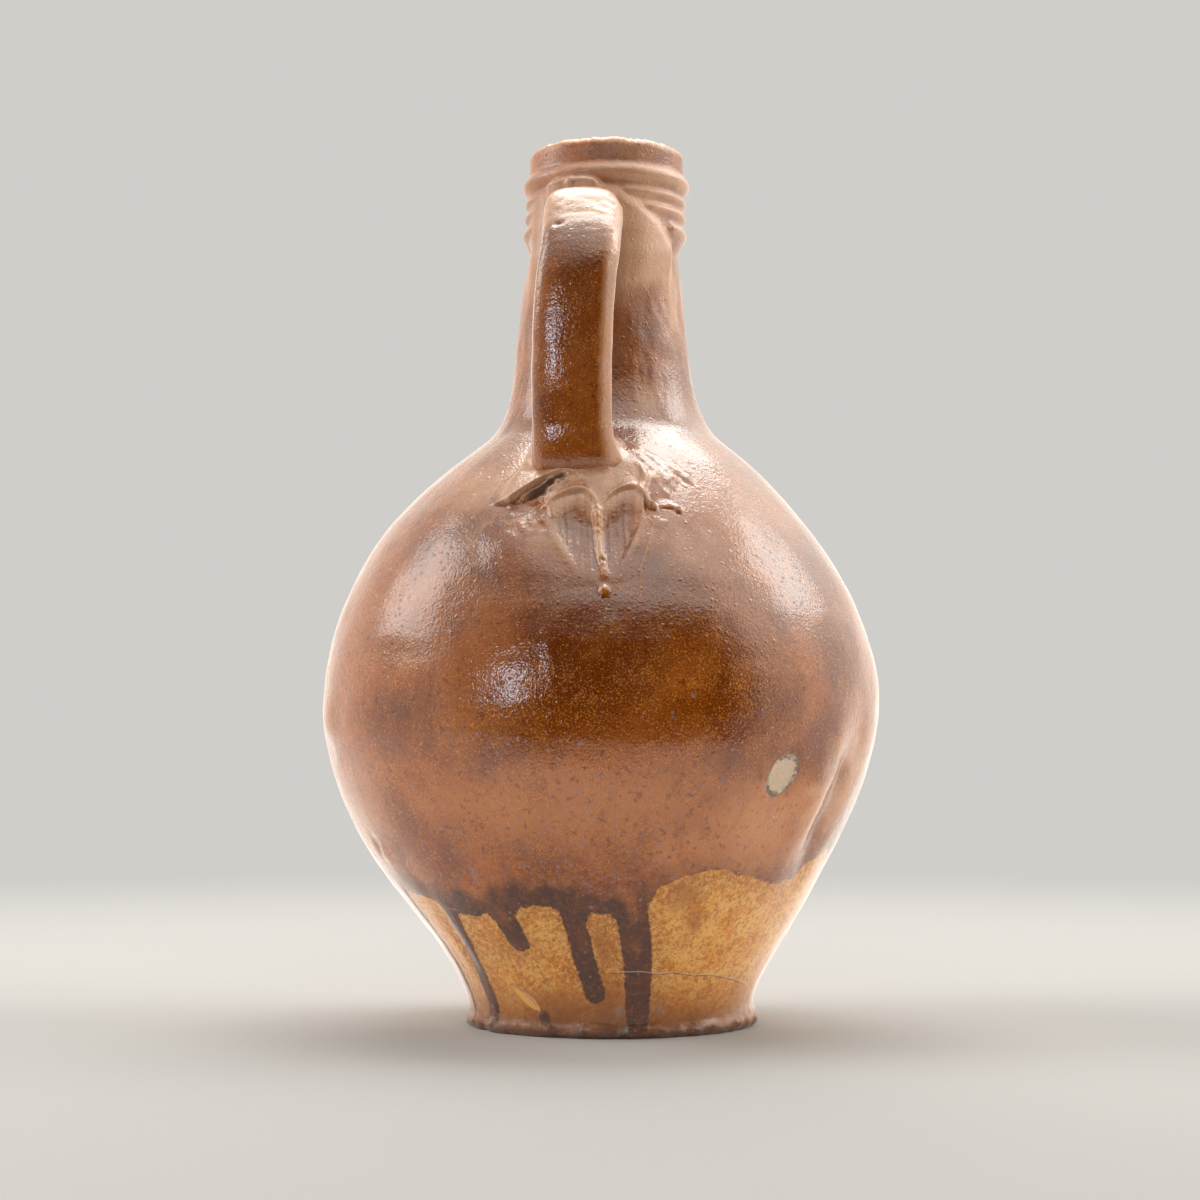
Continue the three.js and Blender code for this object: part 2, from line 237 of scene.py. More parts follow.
class JugSizes(bpy.types.PropertyGroup):
    """Sizes of the jug's clay, in metres."""

    height: size_property("Height", "From the table to the lip", BODY_HIGH.z / MM)
    foot_radius: size_property("Foot radius", "Of the foot's edge", 40.4)
    waist_radius: size_property("Waist radius", "Just above the foot", 39.9)
    belly_radius: size_property("Belly radius", "At the widest part", 78.6)
    belly_height: size_property("Belly height", "Of the widest part", 90)
    root_radius: size_property("Neck root radius", "Where the neck leaves the shoulder", 33.9)
    root_height: size_property("Neck root height", "Where the neck leaves the shoulder", 165)
    neck_radius: size_property("Neck radius", "Just under the collar", 21.2)
    neck_height: size_property("Neck height", "Of the neck's top", 219.5)
    collar_radius: size_property("Collar radius", "Between the cordons", 22.3)
    mouth_radius: size_property("Mouth radius", "Of the bore", 15.6)
    wall: size_property("Wall", "Thickness at the belly", 5.5)
    floor: size_property("Floor", "Thickness of the bottom", 9)
    strap_width: size_property("Strap width", "Of the handle", 21)
    strap_thickness: size_property("Strap thickness", "Of the handle", 7.4)
    mask_width: size_property("Mask width", "Across the neck", 45)
    mask_length: size_property("Mask length", "Down the neck", 64)


def linear(code):
    """A colour written as sRGB hex, as linear red, green, blue and alpha."""
    parts = [int(code[i : i + 2], 16) / 255 for i in (1, 3, 5)]
    return [c / 12.92 if c <= 0.04045 else ((c + 0.055) / 1.055) ** 2.4 for c in parts] + [1.0]


def colour_property(label, says, code):
    return bpy.props.FloatVectorProperty(
        name=label, description=says, default=linear(code), size=4, min=0, max=1, subtype="COLOR"
    )


class JugColours(bpy.types.PropertyGroup):
    """Colours of the glaze, of the bare clay and of the studio floor."""

    deep_brown: colour_property("Deep brown", "Thick iron wash", "#5E2702")
    warm_brown: colour_property("Warm brown", "Thinner iron wash", "#864718")
    flush: colour_property("Flush", "Wash reddened by the fire", "#9C6034")
    gold: colour_property("Gold", "Flecks and thin glaze on edges", "#BC741E")
    black: colour_property("Black", "Iron spots", "#241006")
    # Besides gathered wash, this colour paints shade in hollows and in the listed shaded places.
    pooled: colour_property("Pooled", "Wash gathered at its lower edge", "#341A10")
    tan: colour_property("Tan", "Salt glaze on bare clay", "#B4721E")
    pale_tan: colour_property("Pale tan", "Thin salt glaze on bare clay", "#C8964E")
    amber: colour_property("Amber", "Stains of wash on the tan", "#7E430B")
    ash: colour_property("Ash", "Kiln ash", "#77736E")
    # The same colour is also painted on as sheen where light catches.
    bloom: colour_property("Bloom", "Pale skin of salt on dry places", "#C69E7C")
    slate: colour_property("Slate", "Burst bubbles in the glaze", "#6E656A")
    clay: colour_property("Clay", "Unglazed body", "#A8957F")
    floor: colour_property("Studio floor", "Pale paper sweep", "#D0CECA")


def smooth(start, end, x):
    """A smooth rise from 0 at start to 1 at end."""
    t = min(1.0, max(0.0, (x - start) / (end - start)))
    return t * t * (3 - 2 * t)


def mix(a, b, t):
    """The value a share t of the way from a to b."""
    return a + (b - a) * t


def bump(x, spread):
    """A round bump of height 1 that reaches 0 one spread away."""
    return 0.5 + 0.5 * math.cos(math.pi * min(1.0, abs(x) / spread))


def mound(u, v, half_u, half_v):
    """A soft mound of height 1, with a half-size each way."""
    return math.exp(-((u / half_u) ** 2) - (v / half_v) ** 2)


def along_pairs(pairs, x, ease=False):
    """The value at x between pairs of place and value."""
    for (a, start), (b, end) in zip(pairs, pairs[1:]):
        if x <= b:
            return mix(start, end, smooth(a, b, x) if ease else min(1.0, max(0.0, (x - a) / (b - a))))
    return pairs[-1][1]


def to_line(points, x, y):
    """Distance from a broken line, and how far along it the nearest place is, from 0 to 1."""
    best = (1e9, 0.0)
    spans = len(points) - 1
    for i in range(spans):
        (ax, ay), (bx, by) = points[i], points[i + 1]
        dx, dy = bx - ax, by - ay
        t = min(1.0, max(0.0, ((x - ax) * dx + (y - ay) * dy) / (dx * dx + dy * dy)))
        best = min(best, (math.hypot(x - ax - t * dx, y - ay - t * dy), (i + t) / spans))
    return best


def grain(x, y, z, size):
    """Smooth noise from -1 to 1 with lumps of about that size."""
    return noise.noise(Vector((x, y, z)) / size)


def rounded_least(a, b, radius):
    """The lesser of two distances, with the corner between them rounded."""
    h = min(1.0, max(0.0, 0.5 + 0.5 * (b - a) / radius))
    return mix(b, a, h) - radius * h * (1 - h)


def rounded_most(a, b, radius):
    """The greater of two heights, with the crease between them filled."""
    return -rounded_least(-a, -b, radius)


# Where the collar starts, how round the lip is, and the flank pressed in before firing: its angle from the
# handle, height, lean in degrees for each millimetre, the wall's radius there, its depth and its lip's rise.
COLLAR_START = 222
LIP_ROUND = 3
PRESSED = {"angle": 58.5, "height": 65, "lean": 0.12, "wall": 74, "depth": 2.6, "lip": 1.1}


class JugForm:
    """The thrown body's outline in millimetres, and where hand throwing left each place of it."""

    def __init__(self, sizes):
        names = JugSizes.__annotations__
        self.size = SimpleNamespace(**{name: getattr(sizes, name) / MM for name in names})
        s = self.size
        self.lower = self.sweep(
            (s.waist_radius, 4),
            (s.waist_radius, 21),
            (s.belly_radius, s.belly_height - 39),
            (s.belly_radius, s.belly_height),
        )
        lean = Vector((-11.2, 9.6))
        root = Vector((s.root_radius, s.root_height))
        self.upper = self.sweep(
            (s.belly_radius, s.belly_height),
            (s.belly_radius, s.belly_height + 43.6),
            root - 0.41 * lean,
            root,
        )
        self.neck = self.sweep(
            root,
            root + lean,
            (s.neck_radius + 4.9, s.neck_height - 23.9),
            (s.neck_radius, s.neck_height),
        )
        steps = 48
        rise = s.height - LIP_ROUND - COLLAR_START
        self.collar = [(s.collar_radius, COLLAR_START + rise * i / steps) for i in range(steps + 1)]
        self.outside = [(s.foot_radius, 0.0), (s.foot_radius, 2.2)]
        self.outside += self.lower + self.upper[1:] + self.neck[1:] + self.collar
        self.outside.append((s.collar_radius, s.height + 5))
        self.run = [0.0]
        for (r0, z0), (r1, z1) in zip(self.outside, self.outside[1:]):
            self.run.append(self.run[-1] + math.hypot(r1 - r0, z1 - z0))
        radii = [(z, r) for r, z in self.outside]
        self.radius_table = [along_pairs(radii, i / 4) for i in range(4 * round(s.height) + 24)]

    @staticmethod
    def sweep(*corners, spacing=1.45):
        """Even places along a curve with four corners."""
        places = [Vector(corner) for corner in corners]
        length = sum((b - a).length for a, b in zip(places, places[1:]))
        return [tuple(p) for p in interpolate_bezier(*places, max(6, round(length / spacing)))]

    def inside(self):
        """From the mouth down to the middle of the floor."""
        s = self.size
        neck = self.sweep(
            (s.mouth_radius, s.neck_height),
            (s.mouth_radius + 4.5, s.neck_height - 24),
            (s.root_radius - 15.5, s.root_height + 6),
            (s.root_radius - 4.5, s.root_height - 5),
            spacing=4,
        )
        belly = s.belly_radius - s.wall
        upper = self.sweep(
            (s.root_radius - 4.5, s.root_height - 5),
            (s.root_radius - 2, s.root_height - 7),
            (belly, s.belly_height + 43),
            (belly, s.belly_height),
            spacing=6,
        )
        lower = self.sweep(
            (belly, s.belly_height),
            (belly, s.belly_height - 33),
            (s.waist_radius - 5, s.floor),
            (s.waist_radius - 14, s.floor),
            spacing=6,
        )
        throat = [(s.mouth_radius, s.height - 1.8 - 4.5 * i) for i in range(6)]
        return throat + neck + upper[1:] + lower[1:] + [(12, s.floor + 0.6), (0, s.floor + 0.8)]

    def sway(self, z):
        """How far the axis stands to one side at a height."""
        return along_pairs(SWAY, z, ease=True)

    def at_run(self, run):
        """The outside's radius and height, and its direction there, at a length along it from the foot."""
        low, high = 0, len(self.run) - 1
        while high - low > 1:
            middle = (low + high) // 2
            low, high = (middle, high) if self.run[middle] <= run else (low, middle)
        (r0, z0), (r1, z1) = self.outside[low], self.outside[high]
        span = self.run[high] - self.run[low]
        t = (run - self.run[low]) / span
        return mix(r0, r1, t), mix(z0, z1, t), ((r1 - r0) / span, (z1 - z0) / span)

    def run_at(self, z):
        """The length along the outside from the foot up to a height."""
        return along_pairs([(height, run) for (_, height), run in zip(self.outside, self.run)], z)

    def collar_lift(self, angle, z):
        """The cordons, the clay smeared over them by the handle, and the pad that its root is pressed to."""
        lift = 0.0
        for height, rise, spread, left, right, slow in CORDONS:
            free = smooth(right, right + slow, angle) + smooth(-left, 5 - left, -angle)
            lift = max(lift, rise * min(1.0, free) * bump(z - height, spread))
        top = along_pairs(WEB_TOP, angle)
        shown = (1 - smooth(52, 63, angle)) * smooth(-84, -46, angle)
        web = mix(2.8, 1.8, smooth(-10, 50, angle)) * (1 - 0.4 * smooth(219, top, z))
        web *= smooth(mix(192, 208, smooth(10, 50, angle)), 219, z) * (1 - smooth(top - 4, top + 2, z))
        under = self.size.collar_radius - self.size.neck_radius
        web = shown * (web + under * smooth(200, 219, z) * (1 - smooth(219.5, 222, z)))
        arch = 239.2 - 3.6 * ((angle + 25) / 25) ** 4
        pad = 3.0 * (1 - smooth(16, 27, abs(angle + 25))) * smooth(222, 230, z)
        pad *= 1 - smooth(arch - 2.6, arch + 0.4, z)
        pad += 0.5 * bump(angle + 24, 4) * bump(z - 236.5, 4)
        return rounded_most(rounded_most(lift * smooth(219, 222, z), web, 0.6), pad, 0.5) - 0.15

    def offset(self, angle, z):
        """How far hand work moved the outside off the turned form, at an angle from the handle."""
        turn = math.radians(angle)
        x, y = 60 * math.sin(turn), -60 * math.cos(turn)
        body = smooth(3, 14, z) * (1 - 0.75 * smooth(205, 224, z))
        rings = 0.05 * math.sin(2 * math.pi * z / 8.6 + turn) * (0.6 + 0.4 * grain(x, y, z, 40))
        lumps = 0.5 * grain(x, y, z, 36) + 0.26 * grain(x + 90, y, z, 12) + 0.1 * grain(x, y + 90, z, 4.5)
        if z > 170:
            wiped = 0.3 * mound(angle - 46, z - 203, 20, 13)
            wipes = wiped * grain((angle + 1.6 * z) / 8, (angle - z) / 50, 6, 1)
            return body * (rings + lumps + wipes) + self.collar_lift(angle, z)
        across = math.radians(angle - PRESSED["angle"] - PRESSED["lean"] * (z - PRESSED["height"]))
        across *= PRESSED["wall"]
        fold = PRESSED["lip"] * mound(across + 9, z - 66, 7, 17)
        fold -= PRESSED["depth"] * mound(across - 4, z - 64, 7, 19)
        scale = math.radians(self.radius_at(z))
        fold -= THUMBED * mound((angle - TAIL_ANGLE) * scale + 2, 1.3 * (z - TAIL_HEIGHT) + 2, 12, 12)
        fold *= 1 + 0.6 * grain(x, y, z, 9) if z < 100 else 1
        for at, height, half_u, half_v, rise in KNOCKS:
            fold += rise * mound((angle - at) * scale, z - height, half_u, half_v)
        return body * (rings + lumps) + fold

    def place(self, angle, radius, z):
        """A place at an angle from the handle, as a point, with the body's wander."""
        turn = math.radians(angle)
        return Vector((math.sin(turn) * radius + self.sway(z), -math.cos(turn) * radius, z))

    def on_wall(self, middle_angle, middle_run, u, v, lift):
        """A point that stands off the wall, u across and v up along it from a middle place."""
        radius, z, (out, up) = self.at_run(middle_run + v)
        angle = middle_angle + math.degrees(u / radius)
        lift += self.offset(angle, z)
        return self.place(angle, radius + up * lift, z - out * lift)

    def radius_at(self, z):
        """The turned outside's radius at a height, from the table made of it."""
        i = min(len(self.radius_table) - 2, max(0, int(4 * z)))
        return mix(self.radius_table[i], self.radius_table[i + 1], 4 * z - i)


def wash_distance(angle, z, radius):
    """Millimetres below the wash's edge: over 0 on the tan wall, under 0 in the wash and its runs."""
    waver = 0.7 * noise.noise(Vector((angle / 3.2, z / 4, 3)))
    distance = (along_pairs(WASH_EDGE, angle, ease=True) - z) * 0.85 + waver
    scale = math.radians(radius)
    for places, top, end in WASH_RUNS:
        if abs(angle - places[0][0]) * scale < 24:
            line = [(a * scale, height) for a, height in places]
            far, share = to_line(line, angle * scale, z)
            distance = rounded_least(distance, far - mix(top, end, share) + 0.3 * waver, 2.6)
    return distance


def gathered(angle, z, tan):
    """How thick the wash stands, at its lower edge and all down its runs."""
    below = 1 - smooth(-2, 2, z - along_pairs(WASH_EDGE, angle))
    strength = max(along_pairs(GATHERED, angle), below)
    return strength * smooth(-8, -1.5, tan + 4 * noise.noise(Vector((angle / 5, z / 6, 12))))


def spots(rows, angle, z, radius):
    """The strongest of a list of soft spots at a place."""
    scale = math.radians(radius)
    return max(row[4] * mound((angle - row[0]) * scale, z - row[1], row[2], row[3]) for row in rows)


def crack_at(angle, z, radius):
    """Millimetres across the nearest hairline crack, signed by its side, and how open it is there."""
    scale = math.radians(radius)
    best = (9.0, 0.0)
    for gape, places in CRACKS:
        line = [(a * scale, height) for a, height in places]
        far, share = to_line(line, angle * scale, z)
        if far < abs(best[0]):
            nearest = min(len(line) - 2, int(share * (len(line) - 1)))
            (ax, ay), (bx, by) = line[nearest], line[nearest + 1]
            side = (bx - ax) * (z - ay) - (by - ay) * (angle * scale - ax)
            best = (math.copysign(far, side), gape * smooth(0, 0.1, share) * (1 - smooth(0.9, 1, share)))
    return best


SPOTS = {
    "stain": STAINS, "ash": ASH, "flush": FLUSHES, "golden": GOLDEN, "pooled": SHADES, "bloom": SHEEN_AND_BLOOM,
}
MARKS = (
    "tan_mm", "bare_mm", "flake_mm", "crack_mm", "crack", "crest", "pooled", "stain", "ash", "flush",
    "golden", "dry", "bloom", "inside",
)
# What stands for far from any bare place, and the height under which the wash can end.
FAR_MM = -60.0
LOWER_BODY = 66


def new_marks(bm):
    """One value at each vertex for each kind of mark that the glaze reads."""
    return {name: bm.verts.layers.float.new(name) for name in MARKS}


def start_washed(vert, mark):
    """Starts a vertex in the wash, far from any bare place."""
    for name in ("tan_mm", "bare_mm", "flake_mm"):
        vert[mark[name]] = FAR_MM


def finish_piece(bm, name, material, node):
    """Turns millimetres to metres and hands the piece over to the frame."""
    bmesh.ops.remove_doubles(bm, verts=bm.verts[:], dist=0.002)
    bmesh.ops.recalc_face_normals(bm, faces=bm.faces[:])
    bmesh.ops.scale(bm, vec=(MM, MM, MM), verts=bm.verts[:])
    for face in bm.faces:
        face.smooth = True
    mesh = bpy.data.meshes.new(name)
    bm.to_mesh(mesh)
    bm.free()
    mesh.materials.append(material)
    piece = bpy.data.objects.new(name, mesh)
    bpy.context.scene.collection.objects.link(piece)
    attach(piece, "root")
    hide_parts(node)


# The oval scar where another pot stuck in the kiln: its angle, height, half-sizes, lean and depth, and the
# wall's radius there.
SCAR = {
    "angle": 39.2, "height": 70.4, "half_width": 5.0, "half_height": 5.8, "lean": 0.22, "depth": 0.7,
    "wall": 76,
}
# The leaf-shaped flake near the foot: its ends as angle and height, its half-width and depth, and the
# millimetres in a degree there.
CHIP = ((-38.6, 13.4), (-27.5, 6.6))
CHIP_HALF, CHIP_DEPTH = 2.0, 0.5
CHIP_SCALE = 0.72
# How far the wash stands proud of the bare wall.
WASH_THICK = 0.22
# Chips out of the foot's edge: angle, half-width in degrees, and depth.
FOOT_CHIPS = (
    (-62, 5, 0.7), (-20, 7, 0.8), (4, 5, 0.6), (31, 6, 0.9), (96, 9, 0.8), (150, 6, 0.6), (-120, 8, 0.7),
)
# The foot's underside as radius and height, its edge as steps out from the foot's radius and height, and
# the lip's inner round as radius and depth below the top.
UNDERSIDE = ((0, 1.6), (12, 1.5), (22, 1.2), (30, 0.7), (34, 0.3), (36.5, 0.05), (38, 0))
FOOT_EDGE = ((-0.9, 0.15), (-0.2, 0.7), (0, 1.4), (0.1, 2.2), (-0.2, 3.1))
INNER_LIP = ((18.3, 0.05), (17.2, 0.3), (16.3, 0.9))
TURN_STEPS = 300
# The seed of the vector noise that the glaze's spots stray by. Unset, it would be the clock's.
STRAY_SEED = 1795692375


def scar_distance(angle, z):
    """Millimetres inside the oval where another pot stuck in the kiln."""
    across = math.radians(angle - SCAR["angle"]) * SCAR["wall"] - SCAR["lean"] * (z - SCAR["height"])
    ragged = 1 + 0.07 * noise.noise(Vector((angle / 2.3, z / 2.3, 8)))
    far = math.hypot(across / SCAR["half_width"], (z - SCAR["height"]) / SCAR["half_height"])
    return (ragged - far) * SCAR["half_width"]


def chip_distance(angle, z):
    """Millimetres inside the leaf-shaped flake near the foot."""
    far, share = to_line([(a * CHIP_SCALE, height) for a, height in CHIP], angle * CHIP_SCALE, z)
    return CHIP_HALF * math.sin(math.pi * min(1, max(0, share))) ** 0.6 - far


def throw_body(sizes, material):
    """The bottle: one profile from under the foot, over the lip and down inside, spun and hand-worked."""
    form = JugForm(sizes)
    s = form.size
    edge = [(s.foot_radius + out, z) for out, z in FOOT_EDGE]
    lip = []
    for i in range(1, 7):
        turn = math.radians(15 * i)
        inward, down = LIP_ROUND * (1 - math.cos(turn)), LIP_ROUND * (1 - math.sin(turn))
        lip.append((s.collar_radius - inward, s.height - down))
    top = [(r, s.height - down) for r, down in INNER_LIP]
    outer = edge + form.lower + form.upper[1:] + form.neck[1:] + form.collar + lip
    profile = [*UNDERSIDE, *outer, *top, *form.inside()]
    bm = bmesh.new()
    row = [bm.verts.new((r, 0, z)) for r, z in profile]
    for low, high in zip(row, row[1:]):
        bm.edges.new((low, high))
    bmesh.ops.spin(
        bm,
        geom=bm.verts[:] + bm.edges[:],
        cent=(0, 0, 0),
        axis=(0, 0, 1),
        dvec=(0, 0, 0),
        angle=2 * math.pi,
        steps=TURN_STEPS,
        use_merge=True,
    )
    bmesh.ops.remove_doubles(bm, verts=bm.verts[:], dist=0.002)
    mark = new_marks(bm)
    noise.seed_set(STRAY_SEED)
    for vert in bm.verts:
        x, y, z = vert.co
        radius = math.hypot(x, y)
        angle = math.degrees(math.atan2(x, -y))
        start_washed(vert, mark)
        outside = radius > form.radius_at(z) - 2.2 and z > 0.1 or z > s.height - 1
        if z < 2 and radius < s.foot_radius - 1:
            vert[mark["tan_mm"]], vert[mark["bare_mm"]] = 10.0, 4.0
            vert.co = form.place(angle, radius, z)
        elif outside:
            work_wall(vert, mark, form, angle, radius, z)
        else:
            vert[mark["inside"]] = 1.0
            vert.co = form.place(angle, radius, z)
    finish_piece(bm, "glazed_body", material, "thrown_body")


def work_wall(vert, mark, form, angle, radius, z):
    """Moves a place of the outside as hands, kiln and wear left it, and marks its glaze."""
    s = form.size
    lower = z < LOWER_BODY
    tan = wash_distance(angle, z, radius) if lower else FAR_MM
    scar = scar_distance(angle, z)
    chip = chip_distance(angle, z)
    moved = form.offset(angle, z)
    moved += WASH_THICK * smooth(0.4, -1.4, tan) * (1 - smooth(40, 60, z))
    moved -= SCAR["depth"] * smooth(-0.8, 0.8, scar) + CHIP_DEPTH * smooth(-0.6, 0.9, chip)
    broken = 0.75 * grain(angle / 4.5, 2, z / 2, 1) + 0.5 * grain(angle / 1.6, 5, z, 1)
    for at, width, depth in FOOT_CHIPS:
        broken -= depth * bump(angle - at, width)
    flare = 1.3 * mound(angle - 80, z - 3.4, 26, 2.4)
    moved += (1 - smooth(2, 6.5, z)) * broken + flare
    lip_wave = 0.45 * grain(angle / 14, 1, 0, 1) + 0.3 * grain(angle / 3, 7, 0, 1) - 0.4
    vert.co = form.place(angle, radius + moved, z + smooth(s.height - 5, s.height, z) * lip_wave)
    vert[mark["tan_mm"]], vert[mark["bare_mm"]], vert[mark["flake_mm"]] = tan, scar, chip
    vert[mark["pooled"]] = gathered(angle, z, tan) if lower else 0.0
    vert[mark["dry"]] = max(smooth(150, 205, z), 1 - smooth(2.5, 7, z))
    stray = noise.noise_vector(Vector((angle / 5, z / 4, 17)))
    for name, rows in SPOTS.items():
        spot = spots(rows, angle + 3.4 * stray.x, z + 2.6 * stray.y, radius)
        vert[mark[name]] = max(vert[mark[name]], spot)
    raised = form.collar_lift(angle, z) if z > 170 else 0.0
    # Paler collar and web: bloom where worn, and painted sheen on the raised web and cordons, less beside
    # the strap's top where shade is painted.
    worn_and_sheen = mix(0.3, 0.1, smooth(234, 242, z))
    worn_and_sheen += mix(0.2, 0.6, smooth(-30, 5, angle)) * min(2.0, max(0.0, raised))
    vert[mark["bloom"]] += smooth(165, 215, z) * worn_and_sheen * (1 - 0.7 * mound(angle - 24, z - 197, 20, 12))
    if z < 80:
        vert[mark["crack_mm"]], vert[mark["crack"]] = crack_at(angle, z, radius)
    vert[mark["crest"]] = smooth(s.height - 3, s.height - 1, z + 0.8 * grain(angle / 2, 3, 0, 1))


def strap_path(samples):
    """Even places along the strap's middle line, and its direction at each."""
    fine = []
    steps = 24
    points = [Vector(p) for p in STRAP_LINE]
    ends = [2 * points[0] - points[1]] + points + [2 * points[-1] - points[-2]]
    for a, b, c, d in zip(ends, ends[1:], ends[2:], ends[3:]):
        for i in range(steps):
            t = i / steps
            near = 2 * b + (c - a) * t + (2 * a - 5 * b + 4 * c - d) * t**2
            fine.append((near + (3 * b - a - 3 * c + d) * t**3) / 2)
    fine.append(points[-1])
    run = [0.0]
    for a, b in zip(fine, fine[1:]):
        run.append(run[-1] + (b - a).length)
    path = []
    i = 0
    for k in range(samples):
        want = run[-1] * k / (samples - 1)
        while i < len(run) - 2 and run[i + 1] < want:
            i += 1
        t = (want - run[i]) / (run[i + 1] - run[i])
        path.append((fine[i].lerp(fine[i + 1], t), (fine[i + 1] - fine[i]).normalized()))
    return path


# The strap's points round and rings along it, its twist in degrees, how far its foot spreads to the right,
# how strongly sharp crests catch gold and hollows take painted shade, and where on the shoulder the middle
# of its tail is.
STRAP_SIDES = 64
STRAP_ROWS = 190
STRAP_TURN = 10
FOOT_SPREAD = 4.6
CREST_GAIN = 0.5
TAIL_ANGLE, TAIL_HEIGHT = 1.8, 136.0


def strap_section(width, thickness, crown):
    """A flat oval with a crowned, bevelled face: places across and out, and how near an edge each is."""
    section = []
    for k in range(STRAP_SIDES):
        turn = 2 * math.pi * k / STRAP_SIDES
        across = math.copysign(abs(math.cos(turn)) ** 0.45, math.cos(turn))
        out = math.copysign(abs(math.sin(turn)) ** 0.5, math.sin(turn))
        raised = crown * (1 - across * across) if out > 0 else 0.0
        bevel = 0.2 if across > 0 else 0.1
        x = width / 2 * across * (1 - bevel * max(0.0, out))
        section.append((x, thickness / 2 * out + raised, smooth(0.78, 0.97, abs(across))))
    return section


def strap_grain(x, share, out):
    """How far the strap's skin stands proud: streaks, wrinkles over the bend, a pit and a faint step."""
    face = smooth(0.0, 2.5, out)
    drawn = 0.05 * grain(x / 1.2, share * 6, 7, 1) + 0.2 * grain(x / 6, share * 14, 2, 1)
    lumps = face * bump(share - 0.26, 0.09) * 0.5 * grain(x / 2.8, share * 46, 3, 1)
    wrinkles = face * bump(share - 0.37, 0.06) * 0.28 * grain(x / 6, share * 110, 1, 1)
    low_wrinkles = face * bump(share - 0.74, 0.05) * 0.14 * grain(x / 6, share * 90, 4, 1)
    pit = 1.2 * face * mound(x + 6.0, (share - 0.332) * 150, 1.2, 0.8)
    step = 0.16 * face * smooth(0.782, 0.79, share) * (1 - smooth(0.8, 0.9, share))
    return drawn + lumps + wrinkles + low_wrinkles - pit - step


def pull_strap(bm, form, mark):
    """The strap, extruded ring by ring along its line, narrow at the collar and spread on the shoulder."""
    s = form.size
    path = strap_path(STRAP_ROWS)
    ring_verts, ring_edges = [], []
    for j, (centre, along) in enumerate(path):
        share = j / (STRAP_ROWS - 1)
        thicker = 3.0 * (1 - smooth(0, 0.26, share)) + 2.0 * smooth(0.8, 1, share)
        wider = mix(-4.5, 0.6, smooth(0.04, 0.24, share)) + 2.4 * smooth(0.8, 1, share)
        wide = (Vector((1, 0, 0)) - along * along.x).normalized()
        turn = math.radians(STRAP_TURN) * smooth(0.2, 0.4, share) * (1 - smooth(0.8, 0.95, share))
        wide = wide * math.cos(turn) + along.cross(wide) * math.sin(turn)
        outward = along.cross(wide)
        wider += 0.35 * grain(0, 0, share * 9, 1)
        section = strap_section(s.strap_width + wider, s.strap_thickness + thicker, 0.9)
        if j == 0:
            ring_verts = [bm.verts.new((0, 0, 0)) for _ in section]
            ring_edges = [bm.edges.new((a, b)) for a, b in zip(ring_verts, ring_verts[1:] + ring_verts[:1])]
            first_edges = ring_edges
        else:
            made = bmesh.ops.extrude_edge_only(bm, edges=ring_edges)["geom"]
            fresh = {item for item in made if isinstance(item, bmesh.types.BMVert)}
            beside = [[edge.other_vert(vert) for edge in vert.link_edges] for vert in ring_verts]
            ring_verts = [next(vert for vert in row if vert in fresh) for row in beside]
            pairs = zip(ring_verts, ring_verts[1:] + ring_verts[:1])
            ring_edges = [bm.edges.get(pair) for pair in pairs]
        spread = FOOT_SPREAD * smooth(0.77, 0.97, share) ** 1.4
        for vert, (x, out, rim) in zip(ring_verts, section):
            x += spread * max(0.0, 2 * x / s.strap_width)
            side = smooth(0.6, 0.95, 2 * abs(x) / s.strap_width)
            reach = 3.4 if share < 0.5 else mix(1.0, 2.4, side)
            point = centre + wide * x + outward * out
            gap = math.hypot(point.x - form.sway(point.z), point.y) - form.radius_at(point.z)
            flare = 1 - math.sqrt(max(0.0, 1 - (1 - min(1.0, max(0.0, gap / reach))) ** 2))
            grow = strap_grain(x, share, out) + reach * flare * 0.8
            vert.co = point + (wide * x + outward * out).normalized() * grow
            start_washed(vert, mark)
            dry = 0.8 * (1 - smooth(0.3, 0.37, share)) + 0.4 * flare
            vert[mark["dry"]] = dry + 0.5 * side * smooth(0.77, 0.9, share)
            # Bloom and painted sheen: paler over the dry top and flares, and a painted highlight along the
            # edges, stronger on the right.
            vert[mark["bloom"]] = max(vert[mark["dry"]], (0.7 if x > 0 else 0.2) * rim)
            # Gold on the face's edges and lumps, and painted shade in the pit and the skin's hollows.
            vert[mark["crest"]] = 0.3 * rim * smooth(-1.5, 1.5, out) + 1.2 * strap_grain(x, share, out)
    bmesh.ops.contextual_create(bm, geom=first_edges)
    bmesh.ops.contextual_create(bm, geom=ring_edges)


# The tail's marks in millimetres from its middle on the shoulder, first as places across and up.
LEFT_FLAP = ((-25.5, 6.8), (-21, 7.0), (-15.5, 9.2), (-13.6, 11.8), (-11.6, 14.6), (-8.5, 15.9))
LEFT_FOLD = ((-25.5, 6.9), (-23.6, 7.9), (-18, 12.3), (-14.8, 15.1), (-11.5, 16.8), (-8.5, 16.0))
THIN_RUN = ((13.1, 2.3), (11.2, -6.6), (8.7, -13.9), (7.6, -30))
# Crumbs of clay: place across and up, half-width and rise.
CRUMBS = (
    (-1.2, -21.2, 2.3, 1.2),
    (-0.7, -26.6, 1.0, 0.6),
    (-1.4, -28.8, 0.9, 0.5),
    (20.3, 5.3, 1.8, 0.8),
    (12.9, 6.4, 1.5, 0.9),
    (-22, -1, 2.0, 0.4),
    (-17, 1.4, 1.6, 0.5),
)
